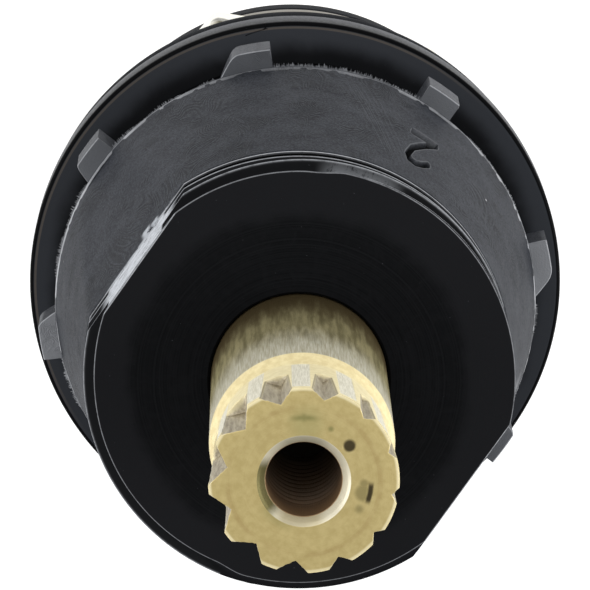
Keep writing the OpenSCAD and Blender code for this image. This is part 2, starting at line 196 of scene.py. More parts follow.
def skin(name, grid, node, body, slot, material, ends="loop", around=True, sharp=35, marks=None):
    """A closed skin over a grid of points. Its rows join in a loop, or end in two poles. Its columns run all
    around, or end in two caps.

    Each of the marks is a number for every point of the grid, which the material reads by its name.
    """
    rows, cols = grid.shape[:2]
    verts = grid.reshape(-1, 3)
    index = np.arange(rows*cols).reshape(rows, cols)
    up = np.roll(index, -1, 0) if ends == "loop" else index[1:]
    low = index if ends == "loop" else index[:-1]
    if around:
        quads = np.stack([low, np.roll(low, -1, 1), np.roll(up, -1, 1), up], -1)
    else:
        quads = np.stack([low[:, :-1], low[:, 1:], up[:, 1:], up[:, :-1]], -1)
    quads = quads.reshape(-1, 4)
    corners = verts[quads]
    centre = corners.mean(1)
    normal = np.cross(corners[:, 2] - corners[:, 0], corners[:, 3] - corners[:, 1])
    flip = (centre*normal).sum() < 0
    total = [quads[:, ::-1] if flip else quads]
    if ends == "poles":
        caps = [index[0][::-1], index[-1]]
    elif not around:
        caps = [index[:, 0], index[::-1, -1]]
    else:
        caps = []
    for ring in caps:
        fan = np.stack([np.full(len(ring), len(verts)), ring, np.roll(ring, -1)], -1)
        verts = np.vstack([verts, verts[ring].mean(0)])
        total.append(fan[:, ::-1] if flip else fan)
    loops = np.concatenate([f.ravel() for f in total])
    sizes = np.concatenate([np.full(len(f), f.shape[1]) for f in total])
    mesh = bpy.data.meshes.new(name)
    mesh.vertices.add(len(verts))
    mesh.vertices.foreach_set("co", (verts*MM).ravel())
    mesh.loops.add(len(loops))
    mesh.loops.foreach_set("vertex_index", loops)
    mesh.polygons.add(len(sizes))
    mesh.polygons.foreach_set("loop_start", np.concatenate([[0], np.cumsum(sizes)[:-1]]))
    mesh.polygons.foreach_set("use_smooth", np.ones(len(sizes), bool))
    for key, values in (marks or {}).items():
        whole = np.zeros(len(verts))
        whole[:rows*cols] = np.broadcast_to(values, (rows, cols)).ravel()
        mesh.attributes.new(key, "FLOAT", "POINT").data.foreach_set("value", whole)
    mesh.update(calc_edges=True)
    mesh.validate()
    mesh.set_sharp_from_angle(angle=math.radians(sharp))
    piece = new_object(name, mesh)
    mesh.materials.append(material)
    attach(piece, body)
    if node:
        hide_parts(node)


class Rows:
    """Rows of a skin round the axis, each with its radius, its height and its marks."""

    def __init__(self, phi, *names):
        self.phi = phi
        self.full = np.ones(len(phi))
        self.rows = []
        self.marks = {name: [] for name in names}

    def add(self, r, z, *values):
        """One row. The marks that get no value are 0."""
        self.rows.append((r*self.full, z*self.full))
        values += (0.0,)*(len(self.marks) - len(values))
        for line, value in zip(self.marks.values(), values):
            line.append(value*self.full)

    def add_path(self, corners, size=math.inf):
        """Rows along rounded corners (r, z, radius), no more than one size apart."""
        for r, z in split_long(rounded_path(corners), size):
            self.add(r, z)

    def close(self, name, node, body, slot, material, **how):
        """Makes the skin, and leaves the rows empty for the next one."""
        marks = {key: np.array(lines) for key, lines in self.marks.items()}
        skin(name, round_grid(self.rows, self.phi), node, body, slot, material, marks=marks, **how)
        for lines in [self.rows, *self.marks.values()]:
            lines.clear()


def turned(name, corners, node, body, slot, material):
    """A turned piece from the corners (r, z, radius) of its section."""
    path = split_long(rounded_path(corners + corners[:1]), 1.5)[:-1]
    skin(name, round_grid(path, even_columns(288)), node, body, slot, material)


class Shader:
    """A node material with short calls for the nodes used here. Places are in millimetres."""

    def __init__(self, name, centre=(0.0, 0.0)):
        self.centre = centre
        self.mat = bpy.data.materials.new(name)
        self.mat.use_nodes = True
        self.tree = self.mat.node_tree
        self.bsdf = self.tree.nodes["Principled BSDF"]
        coord = self.tree.nodes.new("ShaderNodeTexCoord")
        scale = self.tree.nodes.new("ShaderNodeVectorMath")
        scale.operation = "SCALE"
        scale.inputs["Scale"].default_value = 1000
        self.link(coord.outputs["Object"], scale.inputs[0])
        self.place = scale.outputs[0]
        split = self.tree.nodes.new("ShaderNodeSeparateXYZ")
        self.link(self.place, split.inputs[0])
        self.x, self.y, self.z = split.outputs
        self._r = None
        self._angle = None

    def link(self, a, b):
        self.tree.links.new(a, b)

    def put(self, socket, value):
        """Links a socket, or sets its plain value."""
        if hasattr(value, "is_linked"):
            self.link(value, socket)
        elif value is not None:
            socket.default_value = value

    def math(self, kind, a, b=None, c=None):
        n = self.tree.nodes.new("ShaderNodeMath")
        n.operation = kind
        for socket, value in zip(n.inputs, (a, b, c)):
            self.put(socket, value)
        return n.outputs[0]

    @property
    def r(self):
        """Distance from the centre, square to the axis."""
        if self._r is None:
            x = self.math("SUBTRACT", self.x, self.centre[0])
            y = self.math("SUBTRACT", self.y, self.centre[1])
            squares = self.math("ADD", self.math("MULTIPLY", x, x), self.math("MULTIPLY", y, y))
            self._r = self.math("SQRT", squares)
        return self._r

    @property
    def angle(self):
        """Angle about the axis in degrees, from 0 to 360."""
        if self._angle is None:
            turn = self.math("MULTIPLY", self.math("ARCTAN2", self.y, self.x), 180/math.pi)
            whole = self.math("MULTIPLY", self.math("LESS_THAN", turn, 0.0), 360.0)
            self._angle = self.math("ADD", turn, whole)
        return self._angle

    def step(self, value, lo, hi):
        """0 at lo and 1 at hi, softly. It falls where lo is the larger."""
        n = self.tree.nodes.new("ShaderNodeMapRange")
        n.interpolation_type = "SMOOTHSTEP"
        self.put(n.inputs["Value"], value)
        rises = float(lo < hi)
        n.inputs["From Min"].default_value = min(lo, hi)
        n.inputs["From Max"].default_value = max(lo, hi)
        n.inputs["To Min"].default_value = 1.0 - rises
        n.inputs["To Max"].default_value = rises
        return n.outputs["Result"]

    def near(self, value, middle, lo, hi):
        """A step over how far a value is from a middle."""
        return self.step(self.math("ABSOLUTE", self.math("SUBTRACT", value, middle)), lo, hi)

    def stretch(self, sx, sy, sz):
        n = self.tree.nodes.new("ShaderNodeVectorMath")
        n.operation = "MULTIPLY"
        self.put(n.inputs[0], self.place)
        n.inputs[1].default_value = (sx, sy, sz)
        return n.outputs[0]

    def vector(self, x, y, z):
        n = self.tree.nodes.new("ShaderNodeCombineXYZ")
        for socket, value in zip(n.inputs, (x, y, z)):
            self.put(socket, value)
        return n.outputs[0]

    def noise(self, scale, detail=3.0, rough=0.55, place=None, twist=0.0, flat=None):
        n = self.tree.nodes.new("ShaderNodeTexNoise")
        if flat is not None:
            n.noise_dimensions = "1D"
            self.put(n.inputs["W"], flat)
        else:
            self.put(n.inputs["Vector"], place or self.place)
        n.inputs["Scale"].default_value = scale
        n.inputs["Detail"].default_value = detail
        n.inputs["Roughness"].default_value = rough
        n.inputs["Distortion"].default_value = twist
        return n.outputs["Fac"]

    def mark(self, name):
        """A number that the mesh carries at each of its points."""
        n = self.tree.nodes.new("ShaderNodeAttribute")
        n.attribute_name = name
        return n.outputs["Fac"]

    def mix(self, fac, a, b):
        n = self.tree.nodes.new("ShaderNodeMix")
        n.data_type = "RGBA"
        self.put(n.inputs["Factor"], fac)
        self.put(n.inputs[6], a if hasattr(a, "is_linked") else (*a, 1))
        self.put(n.inputs[7], b if hasattr(b, "is_linked") else (*b, 1))
        return n.outputs[2]

    def blend(self, fac, a, b):
        n = self.tree.nodes.new("ShaderNodeMix")
        self.put(n.inputs["Factor"], fac)
        self.put(n.inputs[2], a)
        self.put(n.inputs[3], b)
        return n.outputs[0]

    def shade(self, value, low, high, lo=0.3, hi=0.7):
        """One colour at lo and another at hi, with a step over a value between them."""
        return self.mix(self.step(value, lo, hi), low, high)

    def layers(self, color, *coats):
        """A colour under coats, each with the masks that bound it and last its own colour."""
        for *masks, coat in coats:
            color = self.mix(self.both(*masks), color, coat)
        return color

    def chain(self, kind, masks):
        out = masks[0]
        for m in masks[1:]:
            out = self.math(kind, out, m)
        return out

    def either(self, *masks):
        return self.chain("MAXIMUM", masks)

    def both(self, *masks):
        return self.chain("MULTIPLY", masks)

    def bump(self, *parts):
        """A bumped normal from pairs of a height between 0 and 1 and its depth in millimetres."""
        total = 0.0
        for height, depth in parts:
            total = self.math("MULTIPLY_ADD", height, depth, total)
        n = self.tree.nodes.new("ShaderNodeBump")
        n.inputs["Strength"].default_value = 1.0
        n.inputs["Distance"].default_value = MM
        self.put(n.inputs["Height"], total)
        return n.outputs["Normal"]

    def spot(self, r, angle, z, size, edge):
        """A round mark about one place, 1 inside and 0 outside."""
        n = self.tree.nodes.new("ShaderNodeVectorMath")
        n.operation = "DISTANCE"
        self.put(n.inputs[0], self.place)
        n.inputs[1].default_value = polar(angle, r, z)
        return self.step(n.outputs["Value"], size + edge, max(size - edge, 0.0))

    def finish(self, color, rough, normal, metallic=0.0, specular=0.5):
        inputs = {"Base Color": color, "Roughness": rough, "Normal": normal, "Metallic": metallic}
        for name, value in inputs.items():
            self.put(self.bsdf.inputs[name], value)
        self.bsdf.inputs["Specular IOR Level"].default_value = specular
        return self.mat


def sleeve_plastic():
    """Moulded black plastic of the barrel: grey grain, flow marks, scratches, painted highlights along its
    edges, painted light on the ramps' front faces and painted shade in the sunken number.
    """
    s = Shader("sleeve_plastic")
    scuff = s.mark("scuff")
    sunk = s.mark("sunk")
    grain = s.noise(8.0, 3, 0.7)
    fine = s.noise(18.0, 2, 0.6)
    patch = s.noise(0.42, 4, 0.6)
    tone = s.math("ADD", s.math("MULTIPLY", grain, 0.75), s.math("MULTIPLY", patch, 0.25))
    # Flow marks of the melt, as fine contour lines of a slow field, in a few patches only
    field = s.noise(0.24, 2, 0.45, s.stretch(1.0, 1.0, 0.45), twist=0.8)
    ripple = s.math("SINE", s.math("MULTIPLY", field, 330.0))
    ripple = s.math("MULTIPLY_ADD", ripple, 0.5, 0.5)
    here = s.either(s.step(s.noise(0.33, 3, 0.6), 0.50, 0.62), s.spot(12.3, 185, 41.5, 2.2, 1.4),
                    s.spot(13.8, 152, 32.0, 1.6, 1.2))
    streaks = s.step(s.noise(1.6, 3, 0.5, s.stretch(0.5, 3.5, 0.6)), 0.40, 0.33)
    # Long fine scratches that lean across the barrel beside the cavity number
    lean = s.math("MULTIPLY_ADD", s.math("SUBTRACT", s.z, 29.5), 1.125, s.angle)
    scored = s.both(s.near(lean, 111.5, 6.5, 3.0), s.step(s.z, 29.8, 32.0), s.step(s.z, 42.6, 39.0))
    scratch = s.noise(3.2, 1, 0.4, flat=lean)
    # Painted light on the ramps' front faces, palest at 45 and at 225 degrees
    ramp_face = s.both(s.step(s.r, 14.31, 14.34), s.step(s.z, TAPER_Z - 0.20, TAPER_Z - 0.14))
    turn = s.math("MULTIPLY", s.math("SUBTRACT", s.angle, 225.0), math.pi/180)
    painted_ramp_light = s.math("POWER", s.math("ABSOLUTE", s.math("COSINE", turn)), 4.0)
    torn = s.noise(3.5, 5, 0.7, s.stretch(1.0, 0.5, 1.4))
    broken = s.math("MULTIPLY_ADD", s.step(s.noise(2.2, 4, 0.7), 0.25, 0.60), 0.4, 0.6)
    color = s.layers(
        s.shade(tone, (0.0150, 0.0165, 0.0205), (0.0500, 0.0535, 0.0620), 0.34, 0.66),
        (here, ripple, 0.60, (0.010, 0.011, 0.013)),
        (streaks, 0.25, (0.013, 0.014, 0.016)),
        (ramp_face, 0.85, s.mix(painted_ramp_light, (0.092, 0.096, 0.104), (0.250, 0.256, 0.268))),
        (scored, s.step(scratch, 0.62, 0.70), 0.45, (0.095, 0.100, 0.110)),
        (scored, s.step(scratch, 0.38, 0.30), 0.60, (0.008, 0.009, 0.010)),
        (s.step(s.noise(2.1, 1, 0.5), 0.80, 0.83), (0.22, 0.22, 0.22)),
        (s.spot(13.31, 69.5, 35.2, 0.07, 0.04), (0.60, 0.60, 0.60)),
        (scuff, s.step(torn, 0.36, 0.50), (0.50, 0.52, 0.55)),
        # Painted shade in the sunken number's strokes
        (sunk, (0.0030, 0.0032, 0.0036)),
        # Painted highlight along the edges, broken up by noise
        (s.mark("wear"), broken, (0.62, 0.63, 0.65)))
    normal = s.bump((grain, 0.030), (fine, 0.008), (s.both(here, ripple), 0.025), (patch, 0.05),
                    (s.both(torn, scuff), 0.06))
    return s.finish(color, s.blend(sunk, s.blend(tone, 0.66, 0.50), 1.0), normal, specular=0.07)


def nose_plastic():
    """The same plastic on the nose, moulded smooth: nearly black, with turned rings and thin painted
    highlights along its edges.
    """
    s = Shader("nose_plastic")
    scuff = s.mark("scuff")
    patch = s.noise(0.42, 4, 0.6)
    rings = s.noise(9.0, 4, 0.7, flat=s.r)
    swirl = s.step(s.noise(1.2, 5, 0.65, s.stretch(1.0, 1.0, 0.2), twist=1.2), 0.42, 0.66)
    uneven = s.math("ADD", s.r, s.math("MULTIPLY", patch, 1.4))
    torn = s.noise(3.5, 5, 0.7, s.stretch(1.0, 0.5, 1.4))
    broken = s.math("MULTIPLY_ADD", s.step(s.noise(2.2, 4, 0.7), 0.25, 0.60), 0.5, 0.5)
    color = s.layers(
        s.shade(rings, (0.0064, 0.0067, 0.0073), (0.0100, 0.0104, 0.0112), 0.35, 0.7),
        (swirl, 0.5, (0.0105, 0.0108, 0.0118)),
        (s.step(uneven, 9.6, 10.6), s.step(s.z, FACE_Z - 0.20, FACE_Z - 0.05), (0.0138, 0.0141, 0.0156)),
        (s.step(s.z, FACE_Z - 0.15, FACE_Z - 0.25), 0.8, (0.0150, 0.0154, 0.0165)),
        (s.step(s.noise(6.0, 2, 0.5), 0.755, 0.785), 0.6, (0.10, 0.10, 0.11)),
        (scuff, s.step(torn, 0.30, 0.50), (0.62, 0.64, 0.67)),
        # Painted highlight along the nose's edges, broken up by noise
        (s.mark("wear"), broken, (0.46, 0.47, 0.49)))
    normal = s.bump((rings, 0.006), (patch, 0.03), (s.both(torn, scuff), 0.05))
    return s.finish(color, s.blend(rings, 0.50, 0.38), normal, specular=0.0)


def ring_plastic():
    """Glossy black plastic with faint moulding waves and dust, with painted light greying it towards its rim
    and its rear edge, and a painted brownish highlight along its front edge.
    """
    s = Shader("ring_plastic", RING_CENTRE)
    top = RING_TOP_Z
    wave = s.noise(0.5, 3, 0.5)
    fine = s.noise(6.0, 4, 0.6)
    uneven = s.math("ADD", s.r, s.math("MULTIPLY", wave, 0.8))
    # A painted brownish highlight along the front edge, on the side of the slit
    line = s.both(s.near(s.r, 15.83, 0.09, 0.04), s.step(s.z, top - 0.10, top - 0.02),
                  s.step(s.angle, 75, 100), s.step(s.angle, 255, 230))
    color = s.layers(
        s.mix(wave, (0.0078, 0.0082, 0.0090), (0.0120, 0.0126, 0.0138)),
        # Painted light: the front face pales towards the rim, and the outer side towards the rear edge
        (s.step(uneven, 14.5, 15.8), s.step(s.z, top - 0.20, top - 0.05), (0.040, 0.043, 0.049)),
        (s.step(s.z, top - 0.35, RING_LOW_Z + 0.3), s.step(s.r, 15.72, 16.02), (0.080, 0.083, 0.092)),
        (s.step(s.r, 15.90, 15.96), s.step(s.z, top - 0.38, top - 0.25), (0.0030, 0.0032, 0.0036)),
        (s.step(s.noise(9.0, 2, 0.5), 0.73, 0.78), 0.5, (0.06, 0.06, 0.07)),
        (line, s.math("MULTIPLY_ADD", fine, 0.5, 0.5), (0.110, 0.094, 0.080)))
    rough = s.blend(s.step(fine, 0.3, 0.7), 0.30, 0.42)
    return s.finish(color, rough, s.bump((wave, 0.03), (fine, 0.004)), specular=0.02)


def seal_rubber():
    """Soft black rubber: matte, with a fine bloom and moulding grain."""
    s = Shader("seal_rubber")
    bloom = s.noise(0.7, 5, 0.65)
    grain = s.noise(22.0, 3, 0.6)
    color = s.layers(
        s.shade(bloom, (0.007, 0.008, 0.010), (0.018, 0.019, 0.022), 0.3, 0.75),
        (s.step(s.noise(8.0, 2, 0.5), 0.70, 0.76), 0.5, (0.08, 0.08, 0.08)))
    return s.finish(color, s.blend(bloom, 0.55, 0.78), s.bump((grain, 0.02)), specular=0.06)


def spindle_brass():
    """Machined brass: tan on the cut end, silvery streaks along the shank with painted highlight towards its
    front, and painted brown shade and dark reflection towards its root.
    """
    s = Shader("spindle_brass")
    cut = s.mark("cut")
    along = s.noise(16.0, 4, 0.65, s.stretch(1.0, 1.0, 0.035))
    coarse = s.noise(2.6, 4, 0.6, s.stretch(1.0, 1.0, 0.12))
    mottle = s.noise(2.4, 5, 0.62)
    rings = s.noise(14.0, 4, 0.65, flat=s.r)
    # Shank: olive and gold half way, silver streaks with painted highlight towards the front, painted brown
    # shade and dark reflection of the nose at the root
    on_shank = s.step(s.z, SHOULDER_Z + 0.05, SHOULDER_Z - 0.05)
    waver = s.math("ADD", s.z, s.math("MULTIPLY", s.math("SUBTRACT", coarse, 0.5), 5.0))
    shank = s.layers(
        s.shade(coarse, (0.170, 0.148, 0.072), (0.340, 0.300, 0.160)),
        (s.step(waver, 55.5, 61.0), s.shade(along, (0.36, 0.33, 0.23), (0.56, 0.54, 0.44), 0.32, 0.70)),
        (s.step(waver, 54.5, 49.5), (0.120, 0.090, 0.044)))
    # Splined end: a pale cone, silvery facets, torn taupe floors in the notches and painted shadow along the
    # burrs at their edges
    cone = s.both(s.step(s.z, CONE_Z + 0.06, CONE_Z - 0.06),
                  s.step(s.z, SHOULDER_Z - 0.05, SHOULDER_Z + 0.05))
    torn = s.noise(5.0, 4, 0.6, s.stretch(1.0, 1.0, 0.16))
    rust = s.either(s.spot(4.72, 140.3, 66.4, 0.10, 0.10), s.spot(4.78, 165.1, 66.6, 0.12, 0.10))
    spline = s.layers(
        s.shade(mottle, (0.72, 0.635, 0.385), (0.80, 0.72, 0.47)),
        (cone, s.shade(mottle, (0.68, 0.58, 0.33), (0.78, 0.69, 0.42))),
        (s.mark("facet"), s.shade(along, (0.58, 0.55, 0.43), (0.78, 0.75, 0.64), 0.32, 0.70)),
        (cut, s.shade(torn, (0.285, 0.245, 0.175), (0.46, 0.410, 0.300))),
        # Painted shadow along the burrs at the notches' edges
        (s.mark("burr"), 0.75, (0.17, 0.145, 0.10)),
        (rust, 0.8, (0.24, 0.16, 0.05)))
    # Cut end: mottled tan, soft brown arcs, a few stains, a pit and painted highlight on the teeth's bevel
    end = s.step(s.z, TIP_Z - 0.16, TIP_Z - 0.10)
    arcs = s.both(s.step(s.r, 3.64, 3.86), s.step(s.r, 4.10, 3.92), s.step(s.noise(0.55, 5, 0.6), 0.40, 0.66))
    below = s.both(s.near(s.angle, 268.0, 30.0, 8.0), s.step(s.r, 2.95, 2.45))
    haze = s.spot(3.0, 122.0, TIP_Z, 0.80, 0.50)
    smears = s.either(s.both(s.near(s.r, 3.33, 0.24, 0.00), s.near(s.angle, 125.0, 17.0, 3.0)),
                      s.spot(3.33, 125.0, TIP_Z, 0.18, 0.16), s.spot(3.06, 98.4, TIP_Z, 0.13, 0.10))
    olive = s.either(s.spot(3.10, 23.5, TIP_Z, 0.44, 0.14), s.spot(3.06, 32.5, TIP_Z, 0.22, 0.12),
                     s.spot(3.17, 7.5, TIP_Z, 0.20, 0.16))
    pits = s.either(s.spot(2.96, 73.7, TIP_Z, 0.32, 0.10),
                    s.both(s.near(s.r, 3.42, 0.22, 0.06), s.near(s.angle, 24.2, 11.5, 5.5)))
    face = s.layers(
        s.shade(mottle, (0.43, 0.345, 0.150), (0.50, 0.410, 0.190)),
        (s.step(rings, 0.4, 0.75), 0.25, (0.40, 0.31, 0.125)),
        (arcs, 0.38, (0.30, 0.205, 0.080)),
        # Painted highlight on the bevel round the teeth's tips
        (s.step(s.z, TIP_Z - 0.105, TIP_Z - 0.125), (0.66, 0.58, 0.35)),
        (below, 0.45, (0.26, 0.230, 0.090)),
        (haze, 0.50, (0.34, 0.31, 0.135)),
        (smears, 0.75, (0.20, 0.190, 0.070)),
        (olive, 0.8, (0.24, 0.200, 0.085)),
        (pits, 0.94, (0.036, 0.028, 0.016)))
    # Screw hole: brown at its mouth, paler lower down, and painted shade at its floor
    inside = s.both(s.step(s.r, 2.30, 2.22), s.step(s.z, TIP_Z - 0.38, TIP_Z - 0.44))
    hole = s.layers(
        s.shade(s.z, (0.40, 0.33, 0.26), (0.36, 0.235, 0.130), TIP_Z - 5.0, TIP_Z - 0.8),
        (s.step(s.z, TIP_Z - 12.3, TIP_Z - 12.4), (0.02, 0.018, 0.015)))
    # Its countersink is painted with light and shade: palest about 35 degrees, dimmer about 125 and 300
    # degrees, and painted olive shade about 225 degrees
    chamfer = s.both(s.step(s.r, 2.42, 2.38), s.step(s.z, TIP_Z - 0.44, TIP_Z - 0.38))
    countersink = s.layers(
        s.mix(s.near(s.angle, 225.0, 26.0, 48.0), (0.13, 0.115, 0.050), (0.63, 0.59, 0.46)),
        (s.near(s.angle, 125.0, 40.0, 20.0), (0.50, 0.47, 0.36)),
        (s.near(s.angle, 300.0, 40.0, 20.0), (0.50, 0.445, 0.30)))
    color = s.layers(spline, (on_shank, shank), (end, face), (inside, hole), (chamfer, countersink))
    shaft = s.math("SUBTRACT", 1.0, s.either(end, cut))
    normal = s.bump((along, s.both(shaft, 0.012)), (mottle, 0.010), (s.both(torn, cut), 0.03),
                    (s.both(rings, end), 0.006), (pits, -0.06))
    rough = s.blend(cut, s.blend(on_shank, 0.62, s.blend(along, 0.66, 0.54)), 0.52)
    return s.finish(color, s.blend(end, rough, 0.46), normal, metallic=1.0)


def bonnet_brass(name="bonnet_brass", light=(0.40, 0.33, 0.20), dark=(0.22, 0.17, 0.085)):
    """Turned brass with uneven tarnish, a painted nearly white reflection on the hexagon with a painted
    shadow by one corner, and dulled on the flange, whose top face gets painted light.
    """
    s = Shader(name)
    cloud = s.noise(0.35, 5, 0.62)
    rings = s.noise(7.0, 4, 0.6, s.vector(s.r, s.z, 0.0))
    fine = s.noise(5.0, 4, 0.6)
    tone = s.math("ADD", s.math("MULTIPLY", cloud, 0.7), s.math("MULTIPLY", fine, 0.3))
    # Painted nearly white reflection on the hexagon
    hexagon = s.both(s.step(s.z, 3.05, 3.2), s.step(s.z, 8.1, 7.95), s.step(s.r, 12.0, 12.3))
    rim = s.both(s.step(s.r, 12.9, 13.1), s.step(s.z, 3.08, 3.02), s.step(s.z, 1.8, 1.9))
    # Painted light on the flange's top face
    ledge = s.both(s.near(s.z, 3.0, 0.10, 0.05), s.step(s.r, 12.5, 12.6))
    # Painted shadow by one corner of the hexagon
    hex_corner_shadow = s.either(s.spot(14.2, 143.3, 7.2, 0.75, 0.35), s.spot(14.2, 143.3, 6.2, 0.65, 0.3))
    color = s.layers(
        s.shade(tone, light, dark, 0.35, 0.62),
        (s.step(rings, 0.4, 0.7), 0.35, (0.62, 0.55, 0.38)),
        (hexagon, s.shade(fine, (0.84, 0.81, 0.70), (0.92, 0.90, 0.83))),
        (rim, s.mix(tone, (0.24, 0.22, 0.19), (0.36, 0.33, 0.285))),
        (ledge, (0.90, 0.84, 0.74)),
        (hex_corner_shadow, 0.92, (0.085, 0.078, 0.045)))
    dull = s.either(ledge, rim)
    rough = s.blend(dull, s.blend(s.step(cloud, 0.3, 0.7), 0.28, 0.44), 0.60)
    return s.finish(color, rough, s.bump((rings, 0.018), (fine, 0.008)), metallic=s.blend(dull, 1.0, 0.15))


def washer_plastic():
    """Slightly yellowed white plastic, browned towards its bore."""
    s = Shader("washer_plastic")
    cloud = s.noise(0.6, 4, 0.6)
    color = s.layers(s.shade(cloud, (0.68, 0.66, 0.58), (0.78, 0.77, 0.71)),
                     (s.step(s.r, 5.5, 5.1), (0.50, 0.45, 0.33)))
    return s.finish(color, s.blend(cloud, 0.38, 0.55), s.bump((s.noise(12.0, 3, 0.6), 0.02)), specular=0.4)


def clip_steel():
    """Stamped steel, grained by rolling."""
    s = Shader("clip_steel")
    grain = s.noise(6.0, 4, 0.6, s.stretch(0.25, 3.0, 1.0))
    color = s.shade(grain, (0.42, 0.42, 0.44), (0.62, 0.62, 0.63))
    return s.finish(color, s.blend(grain, 0.25, 0.42), s.bump((grain, 0.01)), metallic=1.0)


# Nose thread: one coarse right-hand ridge that runs off the face, in front of an undercut
CREST_R = 12.0
ROOT_R = 11.36
THREAD_RISE = 0.01528
THREAD_PITCH = 360*THREAD_RISE
RIDGE_START = 258.0
RIDGE_WIDTH = 2.93
UNDERCUT_S = 3.8
UNDERCUT_R = 11.4
FLAT_X = 11.06
VIEW_TURN = 35.0

# Taper of the barrel, and the land behind it that carries the ramps
CONE_R = 12.0
REAR_R = 14.3
TAPER_LEN = NOSE_Z - TAPER_Z
LAND_R = 13.3


def ridge_turn(phi):
    """Angle along the ridge, and the depths behind the face where its flanks cross a line of the nose."""
    theta = (np.asarray(phi, float) - VIEW_TURN + 102) % 360 - 102
    front = (RIDGE_START - theta)*THREAD_RISE
    return theta, [front - THREAD_PITCH + RIDGE_WIDTH, front, front + RIDGE_WIDTH]


def nose_radius(phi, s):
    """Radius of the nose's side at a world angle in degrees and a depth behind the face."""
    theta, (fall, rise, next_fall) = ridge_turn(phi)
    edge = 0.07
    up = 1 - smooth(s, fall - edge, fall + edge)
    next_up = smooth(s, rise - edge, rise + edge)*(1 - smooth(s, next_fall - edge, next_fall + edge))
    up = np.maximum(up, next_up)
    # The crest stays just behind the face where the ridge runs in
    run_in = smooth(theta, 158, 175)*(1 - smooth(theta, 312, 322)) + (1 - smooth(theta, -48, -38))
    up = up*(1 - np.clip(run_in, 0, 1)*(1 - smooth(s, 0.06, 0.20)))
    # The groove is shallow where it leaves the face
    shallow = (1 - smooth(theta, 90, 190))*smooth(theta, 60, 90)*(1 - smooth(s, 0.0, 0.5))
    root = ROOT_R + shallow*(CREST_R - 0.05 - ROOT_R)
    r = root + (CREST_R - root)*up
    under = smooth(s, UNDERCUT_S - 0.05, UNDERCUT_S + 0.05)*(1 - smooth(s, NOSE_LEN - 0.10, NOSE_LEN - 0.02))
    r = r + (UNDERCUT_R - r)*under
    return r + (CONE_R - r)*smooth(s, NOSE_LEN - 0.10, NOSE_LEN)


def nose_depths(phi, count):
    """For each column, depths behind the face that crowd together at the flanks of the ridge."""
    _, flanks = ridge_turn(phi)
    s = np.linspace(0.16, UNDERCUT_S + 0.10, 500)
    crowd = np.ones((len(phi), len(s)))
    for flank in flanks + [np.full(len(phi), UNDERCUT_S)]:
        crowd = crowd + 10*np.exp(-((s[None, :] - flank[:, None])/0.11)**2)
    total = np.cumsum(crowd, 1)
    total = (total - total[:, :1])/(total[:, -1:] - total[:, :1])
    levels = np.linspace(0, 1, count)
    return np.stack([np.interp(levels, line, s) for line in total], 1)


def edge_wear(phi, s):
    """Thin painted highlight lines along the nose: both edges of the crest, and the barrel's front edge."""
    _, (fall, rise, next_fall) = ridge_turn(phi)
    below = (CREST_R - nose_radius(phi, s))/0.06
    wear = np.exp(-((s - NOSE_LEN - 0.09)/0.10)**4)
    rear = np.minimum(next_fall, UNDERCUT_S)
    for flank, inward, width in ((rise, 0.08, 0.06), (rear, -0.20, 0.13), (fall, -0.10, 0.07)):
        shown = (flank > 0.15)*(flank < UNDERCUT_S + 0.05)
        wear = np.maximum(wear, shown*np.exp(-((s - flank - inward)/width)**2 - below**2))
    return wear


def flat_radius(phi, z):
    """Radius of the two flats, which slope out along the taper."""
    x = FLAT_X + np.clip(NOSE_Z - z, 0, None)*(REAR_R - FLAT_X)/TAPER_LEN
    c = np.abs(np.cos(np.radians(phi)))
    return x/np.maximum(c, 0.05)


def on_flat(phi, s):
    """1 where the flats cut the nose, and 0 where it is round."""
    return smooth(nose_radius(phi, s) - flat_radius(phi, FACE_Z), -0.01, 0.02)


def nose_scuff(phi, s):
    """Where the nose is scraped pale: the middle of its flats, and a rub on the front of the ridge."""
    theta, (_, rise, _) = ridge_turn(phi)
    across = FLAT_X*np.tan(np.radians(wrapped(2*phi)/2))
    middle = 1 - smooth(np.abs(across + 0.3), 2.6, 3.8)
    flat = on_flat(phi, s)*middle*(0.45 + 0.55*smooth(s, 0.1, 0.8))
    rub = np.exp(-((s - rise + 0.22)/0.20)**2)*smooth(theta, 58, 66)*(1 - smooth(theta, 79, 86))
    return np.maximum(flat, 0.75*rub)


# Cavity number: the points of its stroke in units of its own, its place, and its units to a millimetre
NUMERAL = [(-9.5, 10), (-3.9, 13.9), (2.3, 16.3), (8.6, 15), (11, 10.5),
           (7.2, 1.6), (-3, -7.5), (-14.1, -15.5), (8.2, -15.4)]
NUMERAL_TURN = 92.1
NUMERAL_R = 13.06
NUMERAL_Z = 37.4
UNITS_ACROSS = 15.0
UNITS_ALONG = 17.3/2.72


def numeral_stroke(phi, z):
    """Distance to the middle of the sunken cavity number's stroke, in its units."""
    across = np.radians(wrapped(phi - NUMERAL_TURN))*NUMERAL_R*UNITS_ACROSS
    along = (z - NUMERAL_Z)*UNITS_ALONG
    best = np.full(np.broadcast(across, along).shape, 99.0)
    for (ax, ay), (bx, by) in zip(NUMERAL, NUMERAL[1:]):
        dx, dy = bx - ax, by - ay
        t = np.clip(((across - ax)*dx + (along - ay)*dy)/(dx*dx + dy*dy), 0, 1)
        best = np.minimum(best, np.hypot(across - ax - t*dx, along - ay - t*dy))
    return best


# The middle angle of each snap ramp, and the half widths of its foot before and after it. The moulds part
# along Y, so the flanks that face the parting plane are flared.
RAMP_FEET = {-0.6: (1.08, 1.50), 45.4: (2.25, 1.08), 89.9: (1.12, 1.08), 134.6: (1.08, 2.10),
             178.2: (1.08, 1.50), 223.8: (1.75, 1.15), 270.0: (1.12, 1.08), 314.6: (1.08, 2.10)}


